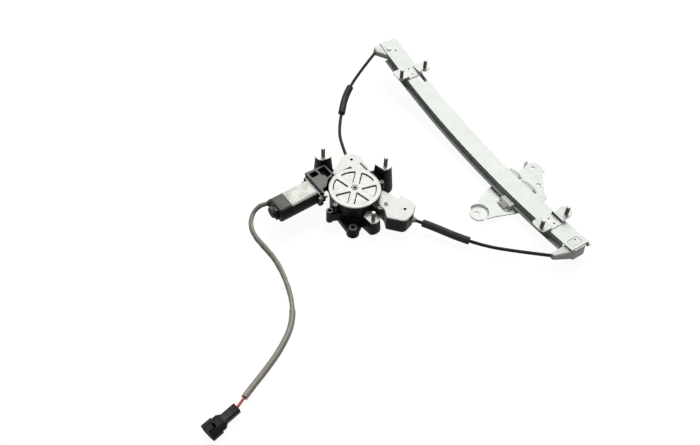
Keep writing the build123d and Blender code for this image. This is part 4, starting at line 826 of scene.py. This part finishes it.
def lidDrop(radius, angle):
    # inside a pocket by d = round - |(round - distance to each of its three sides)|;
    # drop = deep * smoothstep(d / flank), and the collar's groove falls and rises in a straight slope
    half = math.pi / lid["pockets"]
    away = (angle - lid["turn"] + half) % (2 * half) - half
    sides = (
        radius * np.sin(half - away) - lid["spokeHalf"],
        radius * np.sin(half + away) - lid["spokeHalf"],
        lid["far"] - radius,
    )
    short = sum(np.maximum(lid["round"] - side, 0) ** 2 for side in sides)
    share = np.clip((lid["round"] - np.sqrt(short)) / lid["flank"], 0, 1)
    low, high, deep = lid["collar"]
    rise, fall = (radius - low) / lid["collarSlope"], (high - radius) / lid["collarSlope"]
    return lid["deep"] * share**2 * (3 - 2 * share) + deep * np.clip(rise, 0, 1) * np.clip(fall, 0, 1)


def onLidFlank(normal, centre):
    # a pocket's wall or the hub's groove, not the rounded edge; painted dark as shade
    leaning = (normal[2] > 0) & (normal[2] < lidFlank["lean"])
    return leaning & (np.hypot(centre[0], centre[1]) < lidFlank["within"]) & (centre[2] < lidFlank["under"])


def addLid():
    # below: rings from the hub's hole out, one sheet under the top inside the seat;
    # then up over the edge and back in along the top
    angle = fullTurn(lid["around"])
    level = np.ones_like(angle)
    radius = np.linspace(lid["hub"], lid["radius"] - lid["edge"], lid["rings"])[:, None]
    upper = lid["top"] - lidDrop(radius, angle)
    turn = np.arange(1, lid["edgeSteps"] + 1)[:, None] / lid["edgeSteps"] * math.pi / 2
    edgeRadius = lid["radius"] - lid["edge"] * (1 - np.sin(turn))
    edgeHeight = lid["top"] - lid["edge"] * (1 - np.cos(turn))
    lower = np.where(radius > lid["seat"], lid["bottom"], upper - lid["sheet"])
    radii = np.concatenate([radius, [[lid["radius"]]], edgeRadius[::-1], radius[::-1]])
    heights = np.concatenate([lower, lid["bottom"] * level, edgeHeight[::-1] * level, upper[::-1]])
    rings = np.stack([radii * np.cos(angle), radii * np.sin(angle), heights], axis=-1) / 1000
    # the pockets' walls and the hub's groove get painted shade
    finishFaces(collect(gridMesh("gear_cover", rings, capped=False), "gear_cover"), flank, onLidFlank)


# Metric 6 mm studs: thread, plain neck through the plate, clinched head, and the bright ends of the thread.
stud = {
    "radius": 3.0,
    "pitch": 1.0,
    "depth": 0.6,
    "long": 16.0,
    "tip": 0.9,
    "neck": 3.3,
    "head": (5.5, 2.0),  # radius and thickness
    "around": 32,
    "stepsPerTurn": 8,
    "plainFoot": 0.2,
    "plainTip": 1.2,
}
# Studs by their foot, and the plate that each is clinched through. The rail's rows: arc, rise and shift.
motorStuds = {"places": ((-12.3, 69.5, 54.0), (57.0, 5.6, 54.0), (-2.4, -54.0, 27.2)), "plate": 4.6}
railStuds = {"rows": ((249.7, 4.13, -7.0), (-109.4, 6.41, -3.5)), "sides": (-25.5, 22.1), "plate": 1.5}
# Hollow rivets of each bracket, and the lift plate's bores, with painted shade inside them.
bracketRivets = {"across": -1.5, "along": (-6.0, 6.0), "hollow": 2.0}
plateBores = {"places": ((284.0, -81.1), (263.5, -116.0)), "radius": 4.0}


def threadRings(place, plate):
    # radius = thread radius - depth * triangle wave of (height / pitch - angle / turn),
    # faded in over the first pitch and cut to a cone at the tip
    steps = int(stud["long"] / stud["pitch"] * stud["stepsPerTurn"])
    height = np.linspace(0.0, stud["long"], steps)[:, None]
    angle = fullTurn(stud["around"])
    wave = np.abs(((height / stud["pitch"] - angle / (2 * math.pi)) % 1.0) * 2 - 1)
    fade = np.clip(height / stud["pitch"], 0, 1)
    radius = stud["radius"] - stud["depth"] * wave * fade
    radius = np.minimum(radius, stud["radius"] - stud["tip"] + (stud["long"] - height))
    headRadius, headDeep = stud["head"]
    neck = stud["neck"]
    foot = ((headRadius, -plate - headDeep), (headRadius, -plate), (neck, -plate), (neck, 0.0))
    radii = np.concatenate([[np.full(stud["around"], r) for r, low in foot], radius])
    heights = np.concatenate([[low for r, low in foot], height[:, 0]])[:, None]
    heights = np.broadcast_to(heights, radii.shape)
    rings = np.stack([radii * np.cos(angle), radii * np.sin(angle), heights], axis=-1)
    return (rings + np.array(place)) / 1000


def threadOf(places):
    # the thread's faces, by their height over the nearest stud's foot
    def chosen(normal, centre):
        near = np.argmin([np.hypot(centre[0] - x, centre[1] - y) for x, y, z in places], axis=0)
        height = centre[2] - np.array(places)[near, 2]
        return (height > stud["plainFoot"]) & (height < stud["long"] - stud["plainTip"])

    return chosen


def addStuds(node, places, plate):
    # one piece for all the studs of a node
    shape = bmesh.new()
    for place in places:
        one = gridMesh(node, threadRings(place, plate))
        shape.from_mesh(one)
        bpy.data.meshes.remove(one)
    data = bpy.data.meshes.new(pieceName(node))
    shape.to_mesh(data)
    shape.free()
    finishFaces(collect(data, node), thread, threadOf(places))


def railStudPlaces():
    # two feet for each row, on the bracket's wings
    feet = []
    for arc, rise, shift in railStuds["rows"]:
        x, y, z = onRail(arc)
        feet += [(x + out, y + shift, z + rise) for out in railStuds["sides"]]
    return feet


def rivetPlaces():
    # two rivets for each bracket, on the rail's web
    middles = [onRail(row[0]) for row in railStuds["rows"]]
    across, along = bracketRivets["across"], bracketRivets["along"]
    return [(x + across, y + step) for x, y, z in middles for step in along]


# Stranded cable and ribbed conduits: radius, lobes round it, their relief, lay and step, in millimetres.
strands = {
    "cable": {"radius": 0.75, "lobes": 6, "relief": 0.14, "lay": 9.0, "step": 1.1},
    "conduit": {"radius": 2.5, "lobes": 12, "relief": 0.05, "lay": 16.0, "step": 0.8},
    "pointsPerLobe": 6,
}
# The conduits run from the drum to the rail, and the cable in the rail from one's end to the other's.
conduits = {
    "upper_conduit": (
        (36.5, 77.5, 14.0),
        (41.5, 97.0, 14.0),
        (54.5, 134.5, 17.0),
        (100.5, 188.5, 27.0),
        (137.0, 212.0, 38.0),
        (187.6, 232.6, 52.0),
    ),
    "lower_conduit": (
        (52.3, -73.5, 14.0),
        (71.5, -102.5, 14.0),
        (90.0, -130.5, 10.8),
        (116.0, -166.5, 9.8),
        (147.5, -199.5, 13.0),
        (182.2, -231.8, 16.5),
    ),
}
railCable = {"from": -161.0, "to": 319.0, "points": 13, "up": -8.0}


def twistedRope(node, points, kind):
    # radius = plain radius * (1 - relief * cos^4 of half the lobe angle), the lobes turning along the line
    rope = strands[kind]
    line = centreline(points)
    length = np.linalg.norm(np.diff(line, axis=0), axis=1).sum() * 1000
    line = resample(line, 0.0, 1.0, int(length / rope["step"]))
    along = np.linspace(0, length, len(line))[:, None]
    angle = fullTurn(rope["lobes"] * strands["pointsPerLobe"])
    lobe = rope["lobes"] * (angle + 2 * math.pi * along / rope["lay"])
    radius = rope["radius"] / 1000 * (1 - rope["relief"] * np.cos(lobe / 2) ** 4)
    collect(gridMesh(node, ringsOn(line, radius * np.cos(angle), radius * np.sin(angle))), node)


def addCables():
    # both conduits, then the bare cable along the rail between their ends
    for node, points in conduits.items():
        twistedRope(node, points, "conduit")
    arcs = np.linspace(railCable["from"], railCable["to"], railCable["points"])
    stretch = [onRail(arc, railCable["up"]) for arc in arcs]
    points = [conduits["lower_conduit"][-1], *stretch, conduits["upper_conduit"][-1]]
    twistedRope("rail_cable", points, "cable")


# Motor lead, from the end cap to the plug: its route in millimetres, wire radius and length in metres.
lead = {
    "route": (
        (-112.0, 44.5, 30.0),
        (-121.0, 58.0, 21.5),
        (-136.5, 62.0, 10.0),
        (-151.0, 47.5, 3.8),
        (-155.5, 24.0, 3.6),
        (-152.5, -2.0, 3.6),
        (-149.5, -29.0, 3.6),
        (-153.5, -64.0, 3.6),
        (-163.5, -102.0, 3.6),
        (-182.0, -134.0, 4.4),
        (-212.0, -157.5, 4.4),
        (-246.0, -175.5, 4.4),
        (-277.5, -190.0, 4.8),
        (-297.5, -202.6, 8.9),
    ),
    "wire": 0.0018,
    "length": 0.38,
}
# Its sleeves: cloth tape over the wires to past the joint, then a plain tube that ends short of the plug.
# Start and end as shares of the lead, radius and lowest height in metres.
sleeves = {
    "upper_lead_sleeve": {"from": 0.0, "to": 0.6, "radius": 0.00325},
    "lower_lead_sleeve": {"from": 0.585, "to": 0.955, "radius": 0.00425},
    "steps": 260,
    "tubeAround": 24,
    "restsAt": 0.0002,
}
tape = {
    "wider": 0.34,
    "flatter": 0.16,
    "waves": (5.3, 11.7),
    "wave": 0.035,
    "turns": 15,
    "lap": 0.07,
    "around": 32,
}


def tapeRings(line, radius):
    # an oval: half width = radius * (1 + wider * sin^2(pi t) + waves),
    # half height = radius * (1 - flatter * sin^2(pi t) + half the waves);
    # each turn of tape adds lap * (its share of a turn)
    along = np.linspace(0, 1, len(line))[:, None]
    angle = fullTurn(tape["around"])
    swell = np.sin(math.pi * along) ** 2
    slack = sum(tape["wave"] * np.sin(2 * math.pi * wave * along + wave) for wave in tape["waves"])
    lap = 1 + tape["lap"] * ((tape["turns"] * along - angle / (2 * math.pi)) % 1.0)
    across = radius * (1 + tape["wider"] * swell + slack) * lap * np.cos(angle)
    upward = radius * (1 - tape["flatter"] * swell + slack / 2) * lap * np.sin(angle)
    return ringsOn(line, across, upward)


def tubeRings(line, radius):
    # a round tube of one radius
    angle = np.repeat(fullTurn(sleeves["tubeAround"]), len(line), axis=0)
    return ringsOn(line, radius * np.cos(angle), radius * np.sin(angle))


def addLead():
    # the wires as a cord, in two overlapping sleeves, with the plug on the far end
    wires = collect(nurbs("leadWires", lead["route"], lead["wire"]), "lead_wires")
    line = centreline(lead["route"])
    for node, wound in (("upper_lead_sleeve", tapeRings), ("lower_lead_sleeve", tubeRings)):
        sleeve = sleeves[node]
        rings = wound(resample(line, sleeve["from"], sleeve["to"], sleeves["steps"]), sleeve["radius"])
        rings[..., 2] = np.maximum(rings[..., 2], sleeves["restsAt"])
        collect(gridMesh(node, rings), node)


madeNodes = {"lead_wires", "upper_lead_sleeve", "lower_lead_sleeve", "motor_studs", "rail_studs"}
madeNodes |= {"upper_conduit", "lower_conduit", "rail_cable", "gear_cover"}
for node in slots:
    if node not in madeNodes and node not in edgeRadii:
        finishNode(node)
print("stage: CAD nodes finished")

addCamera()
addLights()
addWorld()
addFloor()
print("stage: studio set")

rounded = {node: roundEdges(node) for node in slots if node in edgeRadii}
# the lobe's slot gets painted shade on its walls and floor
finishFaces(rounded["drum_cover"], flank, inGroove)
addLid()
# the can's walls and slopes get painted shade, near black
finishFaces(rounded["motor_can"], sideShade, steep)
# the rail's walls and lips get painted shade, darker than the web
finishFaces(frame["nodes"]["guide_rail"], railWallShade, offTheWeb)
# the brackets' slopes facing the drive get painted shade
for node in ("upper_stud_bracket", "lower_stud_bracket"):
    finishFaces(rounded[node], flank, riser)
# the lead bracket's pockets get painted shade in black
finishFaces(rounded["lead_bracket"], finishes["black_plastic"], inShadedPockets)
# the lead bracket's walls and slopes get painted shade, near black
finishFaces(rounded["lead_bracket"], sideShade, steep)
# the end cap's walls and slopes in black, darker than its grey top, as painted shade
finishFaces(rounded["motor_end_cap"], finishes["black_plastic"], steep)
# the drum cover's upright sides get painted shade, near black
finishFaces(rounded["drum_cover"], sideShade, wall)
# the post's and the ear's rims get a painted highlight in lighter grey
finishFaces(rounded["mounting_base"], finishes["grey_plastic"], onHighlightRims)
# the lift plate's bores get painted shade inside
finishFaces(rounded["carrier_plate"], thread, shadedBoreOf(plateBores["places"], plateBores["radius"]))
# the clip's sides get painted shade
finishFaces(rounded["lower_cable_guide"], flank, aboveTheWeb)
# the hollow rivets get painted shade inside
finishFaces(frame["nodes"]["bracket_rivets"], thread, shadedBoreOf(rivetPlaces(), bracketRivets["hollow"]))
print("stage: edges rounded and faces finished")

addLead()
print("stage: lead laid")

addStuds("motor_studs", motorStuds["places"], motorStuds["plate"])
addStuds("rail_studs", railStudPlaces(), railStuds["plate"])
addCables()
print("stage: studs and cables made")
